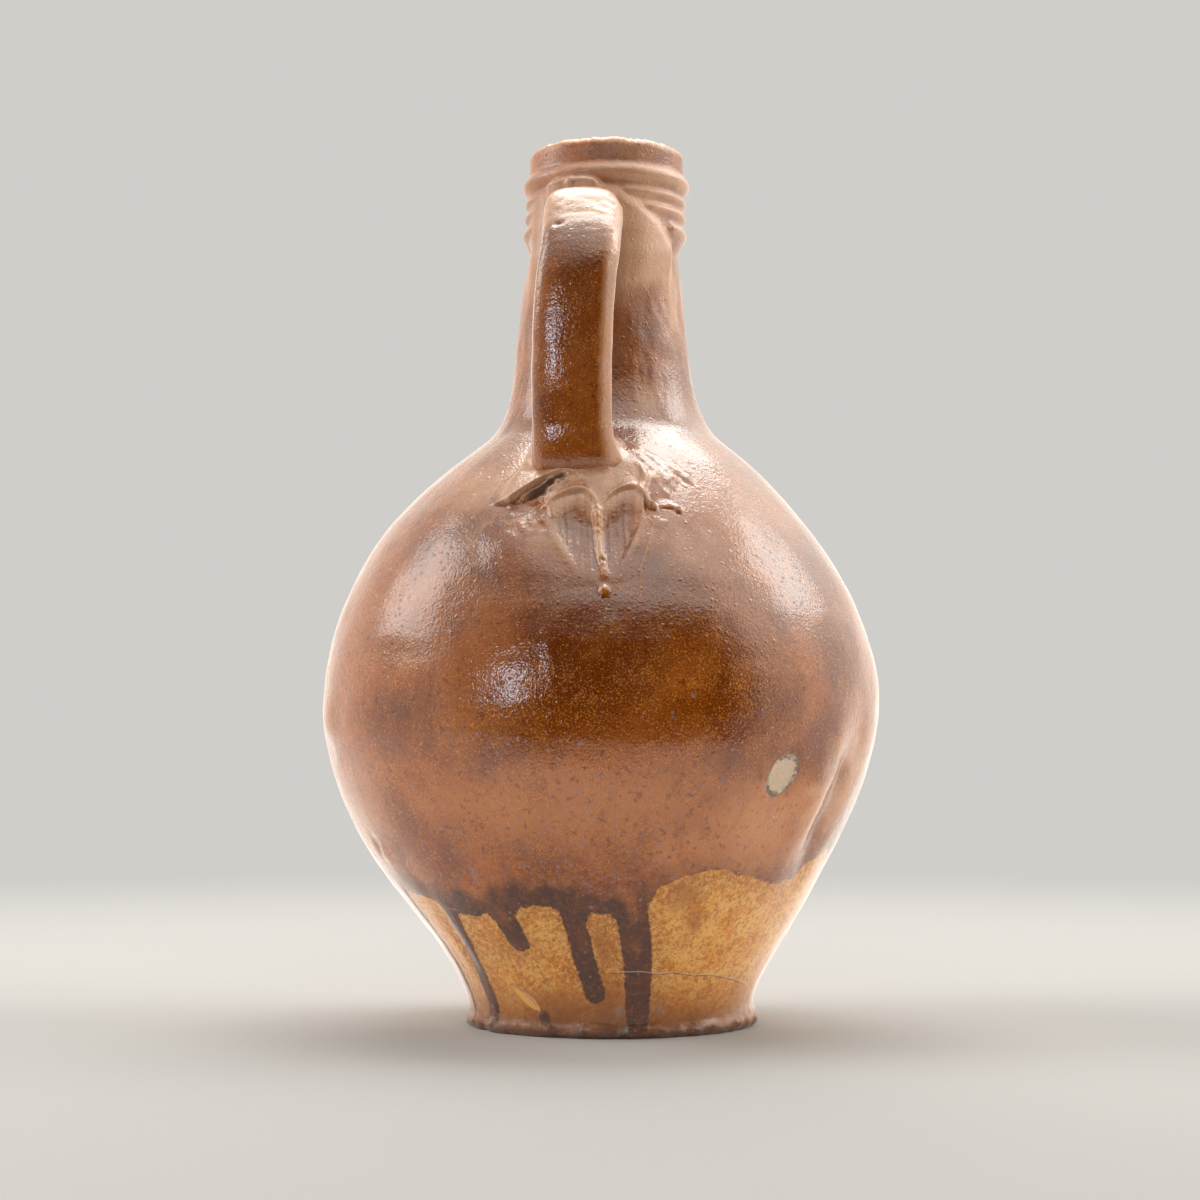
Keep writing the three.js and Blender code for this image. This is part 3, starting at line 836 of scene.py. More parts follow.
# Then as pairs of height and place across: the outer sides of the two thumbs' grooves, the ridge left
# between them, and the edges of the clay spread beside the strap's foot.
RIGHT_SIDE = ((-18, 1.4), (-12.3, 3.7), (-6.2, 6.5), (0.2, 8.9), (5.3, 10.4), (11, 10.8))
LEFT_SIDE = ((-18, -6.4), (-15.3, -8.0), (-7.8, -10.8), (0.2, -13.7), (4.9, -15.2), (11, -15.6))
RIDGE = ((-18, -0.7), (-6.5, -1.8), (3, -2.4), (7, -1.6))
RIGHT_FOLD = (
    (4, 14.0), (6.1, 12.3), (7.7, 10.9), (11.9, 9.9), (16.7, 10.7), (20.3, 9.3), (24.3, 6.1), (28.8, 3.3),
    (42, 1.6),
)
LEFT_FLARE = ((10, -34), (15.6, -30.9), (19.8, -27.1), (25.6, -23.8), (28.6, -21.6), (42, -20.4))
# The sides of the strap's foot, how far clay rises up them, how deep the thumbs pressed the shoulder, how
# thick the spread clay is, and how far its sheet is sunk in and reaches into the wall. Then the sheet's
# half-sizes, the shift of its middle, its grid and how much paler its raised places are painted, as sheen.
FOOT_LEFT, FOOT_RIGHT = -19.5, 0.5
SIDE_RISE = 6.0
THUMBED = 2.8
APRON = 2.7
SINK = 0.3
SHEET_DEPTH = 1.2
TAIL_HALF, TAIL_SHIFT = (42, 36), (-1, 6)
TAIL_GRID = (190, 164)
TAIL_SHEEN = 0.8


def band_edge(u):
    """The lower edge of the band under the strap: one arch over each thumb's groove."""
    right = 11.2 - (0.11 if u < 6.5 else 0.25) * (u - 6.5) ** 2
    left = 10.1 - (0.26 if u > -6.4 else 0.07) * (u + 6.4) ** 2
    return max(4.9, right if u > -1.6 else left)


def groove_lift(u, v):
    """The two grooves wiped down the shoulder, the crumbled ridge between and the clay pushed out beside."""
    left, right, ridge = (along_pairs(line, v) for line in (LEFT_SIDE, RIGHT_SIDE, RIDGE))
    inner = min(u - left, right - u)
    fill = THUMBED * mound(u + 2, v + 2, 12, 12)
    pushed = fill + 0.3 * bump(inner + 1.2, 2.4) * smooth(-16, -6, v) * (1 - smooth(6, 12, v))
    edge = right if u > ridge else left
    middle = mix(ridge, edge, 0.5)
    sides = min(1.0, abs((u - middle) / (edge - middle + 1e-6))) ** 2
    hollow = 0.34 + 0.2 * fill + 0.5 * sides * smooth(-16, 2, v)
    hollow += 1.5 * (1 - smooth(0, 9, band_edge(u) - v))
    hollow += 0.34 * grain(u / 0.8, v / 11, 4, 1)
    lift = mix(pushed, hollow, smooth(-0.6, 0.8, inner) * smooth(-19, -14, v))
    crumble = 0.8 + 0.55 * grain(u, v, 2, 1.3) + 0.35 * grain(u, v, 9, 0.7)
    crest = mix(0.9, 1.4, smooth(-17, 5, v)) * bump(u - ridge - 0.25 * grain(0, v, 5, 1.6), 1.7)
    return lift + max(0.0, crest * crumble) * smooth(-19.5, -16, v)


def foot_lift(u, v):
    """The clay spread round the strap's foot, with a hollow rise to each of the strap's sides."""
    left, right = along_pairs(LEFT_FLARE, v), along_pairs(RIGHT_FOLD, v)
    past = u - right
    beside = (u - FOOT_RIGHT) / (right - FOOT_RIGHT)
    if u < FOOT_LEFT:
        beside = (FOOT_LEFT - u) / (FOOT_LEFT - left)
    near = 1 - min(1.0, max(0.0, beside))
    sheet = mix(APRON, 1.2 * smooth(3, 14, v), smooth(-0.4, 1.8, past)) * (1 - smooth(1, 13, past))
    sheet *= smooth(0, 0.7, near if u < 0 else 1)
    sheet += 0.35 * bump(past + 0.7, 1.5) * smooth(5, 9, v) * (1 - smooth(18, 25, v))
    rise = SIDE_RISE * smooth(17, 29, v) * (1 - smooth(31, 41, v)) * (1 - math.sqrt(1 - near * near))
    return sheet * (1 - smooth(27, 40, v)) + rise


def tail_lift(u, v):
    """How far the tail's clay stands off the shoulder."""
    edge = band_edge(u)
    fold, flap = along_pairs(LEFT_FOLD, u), along_pairs(LEFT_FLAP, u)
    foot = foot_lift(u, v)
    dished = 0.2 * bump(v - edge - 1.4, 1.3) - 0.2 * bump(v - edge - 4.8, 4) + 0.25 * grain(u, v, 6, 5)
    dished += 1.8 * smooth(13, 20, v) ** 2 * smooth(-18, -14, u) * (1 - smooth(-1, 2, u))
    on_band = smooth(edge - 0.4, edge + 1.4, v) * smooth(-17.5, -14, u)
    lift = mix(groove_lift(u, v), foot + dished * (1 - smooth(20, 25, v)), on_band)
    over = 1.2 * smooth(-28, -19, u) * bump(v - fold, 6)
    shelf = min(1.0, max(0.0, (v - flap) / (fold - flap + 1e-6)))
    lift = mix(lift, 0.4 + (foot + over - 0.6) * shelf + 0.4 * grain(u, v, 3, 2.0), in_pocket(u, v))
    lift = mix(lift, max(lift, foot + over), smooth(-0.3, 0.7, v - fold) * (1 - smooth(-10.5, -7.5, u)))
    far, share = to_line(LEFT_FLAP, u, v)
    lobe = mix(0.5, 2.9, smooth(0.2, 0.55, share)) * (1 - smooth(0.75, 0.95, share))
    lobe *= 1 + 0.6 * grain(u, v, 51, 2.3)
    lift = rounded_most(lift, lobe * bump(far, 2.2) - 0.1, 0.3)
    across = u + 0.85 * v
    stroke = grain(across / 2.8, (v - 0.85 * u) / 20, 5, 1) + 0.5 * grain(across / 1.2, v / 9, 8, 1)
    smear = mound(u - 18, v - 20, 12, 14) * smooth(0.5, 4, u - along_pairs(RIGHT_FOLD, v))
    lift += smear * (0.3 + 0.6 * stroke)
    lift += 0.5 * grain(u, v, 21, 3.4) * mound(u - 18, v - 8, 9, 16)
    lift += 1.1 * mound(u + 22, v + 9, 11, 12) + 0.3 * grain(u, v, 31, 2.6) * mound(u + 21, v, 10, 7)
    lift += 0.2 * grain(u, v, 41, 2.2) * mound(u - 20, v - 15, 16, 18)
    far, share = to_line(THIN_RUN, u, v)
    lift += 0.3 * bump(far, 0.75) * (0.7 + 0.5 * grain(u, v, 3, 1.5))
    for at_u, at_v, size, rise in CRUMBS:
        lump = 1 + 0.7 * grain(u, v, at_v, 1.0)
        lift = max(lift, lift + rise * lump * bump(math.hypot(u - at_u, 0.8 * (v - at_v)), size))
    return lift - SINK


def in_pocket(u, v):
    """How far a place lies in the pocket between the left fold and the flap under it."""
    between = min(along_pairs(LEFT_FOLD, u) - v, v - along_pairs(LEFT_FLAP, u) - 0.4)
    return smooth(-0.3, 1.0, between) * smooth(-25.5, -23, u) * (1 - smooth(-10.2, -8.5, u))


def tail_tone(u, v):
    """Gold on the crumbled ridge and crumbs, and painted shade darkening the pocket."""
    gold = bump(u - along_pairs(RIDGE, v), 1.6) * smooth(-19, -16, v) * (1 - smooth(5, 9, v))
    for at_u, at_v, size, _ in CRUMBS[:3]:
        gold = max(gold, bump(math.hypot(u - at_u, v - at_v), 1.2 * size))
    gold = max(gold, 0.8 * bump(to_line(THIN_RUN, u, v)[0], 0.7))
    return 0.7 * gold - in_pocket(u, v) * smooth(-25.5, -17, u)


def lay_relief(bm, form, angle, height, grid, outline, lift, tone, bloom):
    """A sheet of clay on the wall: a grid wrapped round the body and lifted, with its back in the wall."""
    sheet = bmesh.new()
    layers = new_marks(sheet)
    across, up, raised = (sheet.verts.layers.float.new(name) for name in ("across", "up", "raised"))
    columns, rows = grid
    bmesh.ops.create_grid(sheet, x_segments=columns, y_segments=rows, size=1.0)
    middle = form.run_at(height)
    for vert in sheet.verts:
        u, v = outline(vert.co.x, vert.co.y)
        vert[across], vert[up], vert[raised] = u, v, lift(u, v)
        vert.co = form.on_wall(angle, middle, u, v, vert[raised])
        start_washed(vert, layers)
        dry = smooth(150, 205, form.at_run(middle + v)[1])
        proud = smooth(0.4, 1.8, vert[raised])
        vert[layers["dry"]] = max(dry, 0.5 * proud)
        # Bloom where dry, and raised places painted paler, as sheen.
        vert[layers["bloom"]] = 0.3 * dry + bloom * proud
    for vert in sheet.verts:
        # Crest: gold where a place stands above its neighbours, painted shade where it lies below, plus the
        # tone's own.
        around = [edge.other_vert(vert)[raised] for edge in vert.link_edges]
        sharp = CREST_GAIN * (vert[raised] - sum(around) / len(around))
        shade = tone(vert[across], vert[up])
        vert[layers["crest"]] = min(1.0, max(-1.0, sharp + shade))
        vert[layers["dry"]] *= 1 - min(1.0, max(0.0, -shade))
    front = sheet.verts[:] + sheet.edges[:] + sheet.faces[:]
    made = bmesh.ops.extrude_face_region(sheet, geom=front, use_keep_orig=True)
    for vert in made["geom"]:
        if isinstance(vert, bmesh.types.BMVert):
            vert.co = form.on_wall(angle, middle, vert[across], vert[up], -SHEET_DEPTH)
    for layer in (raised, up, across):
        sheet.verts.layers.float.remove(layer)
    bmesh.ops.recalc_face_normals(sheet, faces=sheet.faces[:])
    mesh = bpy.data.meshes.new("clay_sheet")
    sheet.to_mesh(mesh)
    sheet.free()
    bm.from_mesh(mesh)
    bpy.data.meshes.remove(mesh)


def form_handle(sizes, material):
    """The strap handle and its tail, wiped on to the shoulder with two thumbs."""
    form = JugForm(sizes)
    bm = bmesh.new()
    mark = new_marks(bm)
    pull_strap(bm, form, mark)

    def outline(a, b):
        return TAIL_HALF[0] * a + TAIL_SHIFT[0], TAIL_HALF[1] * b + TAIL_SHIFT[1]

    lay_relief(bm, form, TAIL_ANGLE, TAIL_HEIGHT, TAIL_GRID, outline, tail_lift, tail_tone, TAIL_SHEEN)
    finish_piece(bm, "wiped_handle", material, "strap_handle")


# The face's places in millimetres up and across from the mask's middle: the eyes halfway from crown to
# chin, and the brow, the base of the nose and the chin at equal thirds below the hairline. Then the face's
# half-sizes and middle, the mask's place on the neck, its edge, its dome, how strongly its hollows take
# painted shade and its crests gold, and how much paler its raised places are painted, as sheen.
FACE = {"brow": 11.5, "eyes": 8.0, "nose": 0.0, "mouth": -5.0, "spacing": 6.0}
FACE_HALF, FACE_MIDDLE = (14.4, 19.5), 5.0
MASK_ANGLE, MASK_HEIGHT = 180.0, 186.0
MASK_EDGE, MASK_DOME, DOME_HALF = 0.15, 3.6, (21, 33)
MASK_TONE, MASK_SHEEN = 2.0, 0.15
MASK_GRID = (120, 170)


def locks(across, along, width, wave):
    """Wavy locks one width apart from 0 to 1, with finer strands in each."""
    turn = 2 * math.pi * (across + wave * math.sin(along / 3.4)) / width
    return 0.5 + 0.42 * math.cos(turn) + 0.16 * math.cos(3 * turn + 0.8 * math.sin(along / 2.2))


def nose_lift(side, v):
    """A narrow bridge that widens and rises from the brow to the tip, and rounds in at its base."""
    down = 1 - smooth(FACE["nose"], FACE["brow"], v)
    base = smooth(FACE["nose"] - 1.8, FACE["nose"] + 0.9, v)
    bridge = 1 - smooth(FACE["brow"] - 3, FACE["brow"] + 2, v)
    wings = 1.3 * mound(side - 2.7, v - FACE["nose"] - 1.1, 1.3, 1.4)
    return (1.3 + 2.6 * down) * bump(side, 2.3 + 1.7 * down) * base * bridge + wings


def feature_lift(side, v):
    """Brow, sockets, eyes with their lids, cheeks and lips, alike on both sides."""
    eye = side - FACE["spacing"]
    brow = v - FACE["brow"] - 0.9 + 0.045 * eye**2
    lift = (1.3 + 0.2 * math.cos(2 * math.pi * (side - 0.6 * v) / 1.3)) * mound(eye, brow, 5.4, 1.3)
    lift -= 1.9 * mound(eye, v - FACE["eyes"], 4.4, 3.0)
    lift += 1.7 * mound(eye, v - FACE["eyes"], 2.9, 1.7)
    lid = 1.7 - 0.09 * eye**2
    for height, rise in ((lid, 0.7), (-lid, 0.5)):
        lift += rise * bump(eye, 4.4) * bump(v - FACE["eyes"] - height, 0.8)
    lift += 1.3 * mound(eye - 1.6, v - 1.6, 4.0, 3.8)
    lift -= 0.5 * mound(side, v - FACE["mouth"], 3.4, 0.5)
    lift += 1.3 * mound(side, v - FACE["mouth"] + 1.2, 3.2, 1.0)
    return lift


MOUSTACHE = ((0.5, -2.2), (4.0, -2.9), (7.6, -3.9), (11.0, -4.4))


def moustache_lift(side, v):
    """Two full wings swept out and down from under the nose."""
    far, share = to_line(MOUSTACHE, side, v)
    comb = math.cos(2 * math.pi * (v + 0.5 * side) / 1.25)
    return (2.1 - 0.8 * share) * bump(far, 2.5 - 0.7 * share) * (1 + 0.14 * comb)


def mask_lift(u, v, width, length):
    """The mask's height off the neck: a domed head, its features, and hair and beard in locks."""
    side = abs(u)
    away = (u / DOME_HALF[0]) ** 2, ((v - FACE["eyes"] + 3) / DOME_HALF[1]) ** 2
    dome = MASK_DOME * max(0.0, 1 - away[0] - away[1])
    oval = math.hypot(u / FACE_HALF[0], (v - FACE_MIDDLE) / FACE_HALF[1])
    jaw = FACE["mouth"] - 3.2 + 0.06 * side * side
    beard = 1 - smooth(jaw - 2.5, jaw + 2.5, v)
    hair = smooth(0.84, 1.0, oval) * (1 - beard)
    round_face = 15 * math.atan2(side, v - 2)
    fan = 42 * math.atan2(u, 24 - v)
    lock = locks(fan, v, 4.1, 0.9)
    full = 1.2 + 1.6 * mound(u, v + 14, 13, 12)
    wave = locks(round_face, FACE_HALF[0] * oval, 4.2, 0.5)
    curls = beard * (full + 1.1 * lock) + hair * (1.0 + 1.3 * wave)
    far = (u / (width / 2)) ** 2 + (v / (length / 2)) ** 2
    far += 0.14 * (1 - lock) * beard * smooth(-12, -26, v)
    rim = 1 - smooth(0.84, 1, far)
    features = (nose_lift(side, v) + feature_lift(side, v)) * (1 - hair)
    whiskers = rounded_most(features + curls, features + moustache_lift(side, v), 0.5)
    return MASK_EDGE + rim * (dome + whiskers)


def press_mask(sizes, material):
    """The press-moulded bearded mask, laid on the neck opposite the handle."""
    form = JugForm(sizes)
    width, length = form.size.mask_width, form.size.mask_length
    bm = bmesh.new()
    new_marks(bm)

    def outline(a, b):
        v = length / 2 * b * math.sqrt(1 - a * a / 2)
        taper = 0.86 + 0.14 * smooth(-length / 2, FACE["eyes"], v)
        return width / 2 * a * math.sqrt(1 - b * b / 2) * taper, v

    def lift(u, v):
        return mask_lift(u, v, width, length)

    # Painted shade in the hollows and gold on the crests, by how far a place lies below or above its
    # neighbours.
    def tone(u, v):
        around = lift(u + 1, v) + lift(u - 1, v) + lift(u, v + 1) + lift(u, v - 1)
        return MASK_TONE * (lift(u, v) - around / 4)

    lay_relief(bm, form, MASK_ANGLE, MASK_HEIGHT, MASK_GRID, outline, lift, tone, MASK_SHEEN)
    finish_piece(bm, "pressed_mask", material, "bearded_mask")


def add(tree, kind, inputs=None, **settings):
    """Adds a node with its settings, and sets or links its inputs. A node is linked by its first output."""
    node = tree.nodes.new("ShaderNode" + kind)
    for name, value in settings.items():
        setattr(node, name, value)
    for name, value in (inputs or {}).items():
        if isinstance(value, bpy.types.Node):
            value = value.outputs[0]
        if isinstance(value, bpy.types.NodeSocket):
            tree.links.new(value, node.inputs[name])
        else:
            node.inputs[name].default_value = value
    return node


# The glaze's noise patterns: size in millimetres, detail and distortion. Streaks are drawn out down the
# wall.
GLAZE_MM = {
    "cloud": (42, 3, 0.3),
    "haze": (17, 3, 0.4),
    "blotch": (8, 4, 0.4),
    "streak": (5, 3, 0.0),
    "fleck": (1.6, 3, 0.3),
    "speckle": (0.42, 2, 0.4),
    "peel": (1.3, 2, 0.0),
    "skin": (0.55, 1, 0.0),
}
STREAK_DRAW = 0.09
# Pits thin out between two heights, and spots between the first and another. Then the depths of the skin's
# three sizes of relief in metres, and how rough the glass is where smooth, where blotched, more where dry,
# and where matt.
PIT_MM, PIT_LOW, PIT_HIGH, SPOT_HIGH = 2.6, 45, 96, 95
BEAD_MM = 2.6
PEEL_DEPTH, BEAD_DEPTH, SKIN_DEPTH = 0.00011, 0.00007, 0.00006
GLOSSY, BLOTCHED, DRIER, MATT = 0.06, 0.16, 0.24, 0.8
GLASS_IOR = 1.55

# Guides with a ragged edge: a pattern, how much of it, and the guide that it is added to.
RAGGED = {
    # Ragged bloom with painted sheen.
    "ragged_bloom_and_sheen": ("blotch", 0.5, "bloom"),
    "flecks": ("golden", 0.09, "speckle"),
    "crowd": ("blotch", 0.22, "flecks"),
    "below_wash": ("fleck", 1.8, "tan_mm"),
    "foot": ("fleck", 6.0, "height"),
    "stained": ("blotch", 0.9, "stain"),
    "film": ("blotch", 0.9, "ash"),
    "rim": ("fleck", 5.0, "bare_mm"),
}

# What shows of a hairline crack, a dark line painted as the shadow in its gap and a pale line on one side
# painted as its lit edge: millimetres from the crack to the middle of each, and its half-width.
CRACK_LINES = {"crack_shadow_line": (0.0, 0.18), "crack_lit_edge": (0.4, 0.3)}

# The glaze's colours, each a first one with others laid over it: the guide, where the colour starts along
# it and where it is full, how strong it gets, and the colour.
LAYERS = {
    # The wash: deep brown clouded with warmer brown, flushed, streaked down, speckled gold and black.
    "thin_wash": ("deep_brown", (
        ("cloud", 0.36, 0.62, 1.0, "warm_brown"),
        ("haze", 0.45, 0.3, 0.6, "amber"),
        ("haze", 0.56, 0.72, 0.3, "pooled"),
        ("flush", 0.0, 1.0, 1.0, "flush"),
        ("streak", 0.5, 0.72, 0.4, "deep_brown"),
        ("blotch", 0.5, 0.75, 0.35, "warm_brown"),
        ("fleck", 0.47, 0.34, 0.4, "deep_brown"),
        ("crowd", 0.62, 0.76, 0.12, "pale_tan"),
        ("crowd", 0.69, 0.79, 0.6, "gold"),
        ("fleck", 0.4, 0.3, 0.4, "black"),
    )),
    "thick_wash": ("pooled", (
        ("blotch", 0.45, 0.7, 0.5, "deep_brown"),
        ("fleck", 0.5, 0.66, 0.25, "warm_brown"),
        ("speckle", 0.56, 0.68, 0.4, "amber"),
    )),
    # Over the wash: gathered wash and painted shade, bloom and painted sheen, pits, and gold on crests.
    "wash": ("thin_wash", (
        ("spotted", 0.55, 0.68, 0.3, "slate"),
        ("pooled", 0.0, 1.0, 0.95, "thick_wash"),
        ("ragged_bloom_and_sheen", 0.3, 1.35, 0.5, "bloom"),
        ("pit", 0.0, 0.14, 0.6, "slate"),
        ("crest", 0.15, 0.9, 0.5, "gold"),
        # Painted shade in hollows.
        ("crest", -0.2, -0.9, 0.75, "pooled"),
    )),
    # The wall below the wash: mottled tan, amber beside the wash and in stains, darker towards the foot.
    "wall": ("tan", (
        ("blotch", 0.38, 0.62, 1.0, "pale_tan"),
        ("tan_mm", 9.0, 0.3, 0.5, "amber"),
        ("fleck", 0.5, 0.64, 0.6, "amber"),
        ("speckle", 0.52, 0.64, 0.7, "pale_tan"),
        ("speckle", 0.46, 0.34, 0.65, "amber"),
        ("peel", 0.52, 0.66, 0.6, "pale_tan"),
        ("peel", 0.46, 0.34, 0.6, "amber"),
        ("stained", 0.6, 1.35, 0.65, "amber"),
        ("height", 20.0, 4.0, 0.7, "amber"),
        ("height", 12.0, 1.0, 0.5, "pooled"),
        ("foot", 6.0, 4.2, 0.75, "pooled"),
        ("film", 0.85, 1.5, 0.75, "ash"),
    )),
    # Unglazed clay: the scar where another pot stuck and the foot's underside, with a dark rim.
    "bare_clay": ("clay", (
        ("fleck", 0.4, 0.65, 0.2, "pale_tan"),
        ("speckle", 0.5, 0.7, 0.6, "ash"),
        ("rim", 4.0, 2.7, 0.75, "black"),
    )),
    "dusty_inside": ("deep_brown", (("cloud", 0.2, 0.8, 0.8, "clay"),)),
    "jug": ("wash", (
        ("below_wash", 0.7, 1.2, 1.0, "wall"),
        ("flake_mm", 0.3, 0.8, 0.7, "pale_tan"),
        ("crack_lit_edge", 0.08, 0.24, 0.55, "clay"),
        ("crack_shadow_line", 0.0, 0.14, 0.7, "black"),
        ("inside", 0.0, 1.0, 1.0, "dusty_inside"),
        ("bare_mm", -0.1, 0.2, 1.0, "bare_clay"),
    )),
}


def lay_over(tree, colour, layers, guides, colours):
    """Lays colours over a first one, each as far as its guide has come from its start to its end."""
    for guide, start, end, strength, over in layers:
        ends = {"From Min": start, "From Max": end, "To Max": strength}
        shown = add(tree, "MapRange", {"Value": guides[guide], **ends}, interpolation_type="SMOOTHSTEP")
        colour = add(tree, "Mix", {0: shown, 6: colour, 7: colours[over]}, data_type="RGBA").outputs[2]
    return colour


def salt_glaze(colours):
    """Salt-glazed stoneware under an iron wash: a thin soda glass with an orange-peel skin, brown and
    speckled where the wash is, darker where it gathered in runs and with painted shade in hollows and listed
    places, paler with bloom and painted sheen, and tan over the bare clay below."""
    material = bpy.data.materials.new("salt_glazed_stoneware")
    material.use_nodes = True
    tree = material.node_tree
    tree.nodes.clear()
    guides = {name: add(tree, "Attribute", attribute_name=name).outputs["Fac"] for name in MARKS}
    where = add(tree, "TexCoord").outputs["Object"]
    mm = add(tree, "VectorMath", {0: where, "Scale": 1 / MM}, operation="SCALE")
    guides["height"] = add(tree, "SeparateXYZ", {0: mm}).outputs[2]
    drawn = add(tree, "VectorMath", {0: mm, 1: (1, 1, STREAK_DRAW)}, operation="MULTIPLY")
    for name, (size, detail, distortion) in GLAZE_MM.items():
        inputs = {"Vector": drawn if name == "streak" else mm, "Scale": 1 / size, "Detail": detail}
        guides[name] = add(tree, "TexNoise", {**inputs, "Roughness": 0.6, "Distortion": distortion})
    for name, (pattern, amount, base) in RAGGED.items():
        inputs = {0: guides[pattern], 1: amount, 2: guides[base]}
        guides[name] = add(tree, "Math", inputs, operation="MULTIPLY_ADD")
    for name, (middle, half) in CRACK_LINES.items():
        far = add(tree, "Math", {0: guides["crack_mm"], 1: middle}, operation="SUBTRACT")
        far = add(tree, "Math", {0: far}, operation="ABSOLUTE")
        near = add(tree, "Math", {0: half, 1: far}, operation="SUBTRACT")
        guides[name] = add(tree, "Math", {0: near, 1: guides["crack"]}, operation="MULTIPLY")

    # Burst bubbles: small slate-grey pits and spots, thick on the lower belly and few above.
    pits = add(tree, "TexVoronoi", {"Vector": mm, "Scale": 1 / PIT_MM})
    chance = add(tree, "SeparateColor", {0: pits.outputs["Color"]})
    height = {"Value": guides["height"], "From Min": PIT_LOW}
    rare = add(tree, "MapRange", {**height, "From Max": PIT_HIGH, "To Min": 0.3, "To Max": 1.01})
    kept = add(tree, "Math", {0: chance, 1: rare}, operation="GREATER_THAN")
    size = add(tree, "Math", {0: chance, 1: 0.18, 2: -0.04}, operation="MULTIPLY_ADD")
    wobble = add(tree, "Math", {0: guides["fleck"], 1: 0.26, 2: size}, operation="MULTIPLY_ADD")
    near = add(tree, "Math", {0: wobble, 1: pits}, operation="SUBTRACT")
    guides["pit"] = add(tree, "Math", {0: near, 1: kept}, operation="MULTIPLY")
    low = add(tree, "MapRange", {**height, "From Max": SPOT_HIGH, "To Min": 0.04, "To Max": -0.2})
    guides["spotted"] = add(tree, "Math", {0: guides["fleck"], 1: low}, operation="ADD")

    shown = dict(colours)
    for name, (first, layers) in LAYERS.items():
        shown[name] = lay_over(tree, shown[first], layers, guides, shown)

    # Glossy glass, duller where it is dry, and matt on bare clay and inside.
    ends = {"From Min": 0.3, "From Max": 0.7, "To Min": GLOSSY, "To Max": BLOTCHED}
    gloss = add(tree, "MapRange", {"Value": guides["blotch"], **ends})
    gloss = add(tree, "Math", {0: guides["dry"], 1: DRIER, 2: gloss}, operation="MULTIPLY_ADD")
    matt = add(tree, "Math", {0: guides["bare_mm"], 1: guides["inside"]}, operation="MAXIMUM")
    ends = {"From Min": 0.0, "From Max": 0.4, "To Min": gloss, "To Max": MATT}
    gloss = add(tree, "MapRange", {"Value": matt, **ends})
    beads = add(tree, "TexVoronoi", {"Vector": mm, "Scale": 1 / BEAD_MM})
    ends = {"From Min": 0.24, "From Max": 0.08}
    bead = add(tree, "MapRange", {"Value": beads, **ends}, interpolation_type="SMOOTHSTEP")
    under = {}
    for skin, depth in ((guides["skin"], SKIN_DEPTH), (bead, BEAD_DEPTH), (guides["peel"], PEEL_DEPTH)):
        relief = add(tree, "Bump", {"Height": skin, "Strength": 1.0, "Distance": depth, **under})
        under = {"Normal": relief}
    finish = {"Base Color": shown["jug"], "Roughness": gloss, "IOR": GLASS_IOR, **under}
    add(tree, "OutputMaterial", {"Surface": add(tree, "BsdfPrincipled", finish)})
    return material


def glaze_of(context):
    """The jug's one glaze, made once."""
    made = bpy.data.materials.get("salt_glazed_stoneware")
    colours = {name: list(getattr(context.scene.jug_colours, name)) for name in JugColours.__annotations__}
    return made or salt_glaze(colours)


# The studio, in metres. Where the table ends in front and all round as the glaze mirrors it, and where the
# paper that the lens sees melts into the backdrop.
FLOOR_RADIUS = 6.0
TABLE_FRONT = -0.232
TABLE_END = (0.35, 0.7)
TABLE_WHITE = (0.92, 0.905, 0.875, 1)
TABLE_DARK = (0.02, 0.02, 0.02, 1)
FLOOR_FADE = (0.3, 1.0)
FLOOR_LIT = 0.66

# Light: the tent's colour in the glaze, how bright its walls are from left to right and its tilted roof is
# overhead, and where it opens to the front. Then soft boxes by the way each stands from the jug's middle,
# how far off, its size, its power and its colour. The fills light the clay and don't show in the glaze, and
# the window shows in the glaze alone.
TENT = (1, 0.92, 0.83, 1)
TENT_WALLS = {"From Min": -0.8, "From Max": 0.8, "To Min": 1.4, "To Max": 2.0}
TENT_ROOF = {"From Min": 0.5, "From Max": 0.9, "To Min": 0.0, "To Max": 1.9}
TENT_FLAP = {"From Min": -0.3, "From Max": 0.3, "To Min": -0.95, "To Max": -0.62}
TENT_LOW = {"From Min": 0.86, "From Max": 0.5}
TENT_TILT, TENT_OPEN = 0.4, -0.18
DAYLIGHT = (1, 0.98, 0.95)
JUG_MIDDLE = Vector((0, 0, 0.12))
SOFT_BOXES = (
    ("right_soft_box", (0.76, 0.23, 0.61), 1.3, (0.55, 0.55), 4, DAYLIGHT),
    ("left_soft_box", (-0.83, 0.07, 0.555), 1.3, (0.7, 0.7), 7, DAYLIGHT),
    ("top_soft_box", (0.06, 0.36, 0.92), 1.3, (1.1, 0.9), 18, DAYLIGHT),
    ("window", (-0.56, -0.815, 0.13), 1.6, (0.3, 0.3), 3.8, (0.75, 0.85, 1.0)),
    ("front_fill", (0, -1, 0.25), 1.6, (1.4, 1.4), 14, DAYLIGHT),
    ("right_fill", (1, 0, 0.25), 1.6, (1.4, 1.4), 25, DAYLIGHT),
    ("back_fill", (0, 1, 0.25), 1.6, (1.4, 1.4), 18, DAYLIGHT),
    ("left_fill", (-1, 0, 0.25), 1.6, (1.4, 1.4), 25, DAYLIGHT),
)

# The camera: its lens in millimetres, and where it stands and how far it tilts up from straight down.
LENS_MM, SENSOR_MM = 71.33, 36
EYE = (-0.00296, -0.680, 0.074)
EYE_TILT = 93.877


def add_light(name, towards, distance, size, power, tint):
    """A soft box that faces the middle of the jug."""
    data = bpy.data.lights.new(name, "AREA")
    data.shape = "RECTANGLE"
    data.size, data.size_y = size
    data.energy = power
    data.color = tint
    lamp = bpy.data.objects.new(name, data)
    bpy.context.scene.collection.objects.link(lamp)
    towards = Vector(towards).normalized()
    lamp.location = JUG_MIDDLE + towards * distance
    lamp.rotation_mode = "QUATERNION"
    lamp.rotation_quaternion = towards.to_track_quat("Z", "Y")
    lamp.visible_camera = False
    lamp.visible_diffuse = name != "window"
    lamp.visible_glossy = not name.endswith("_fill")


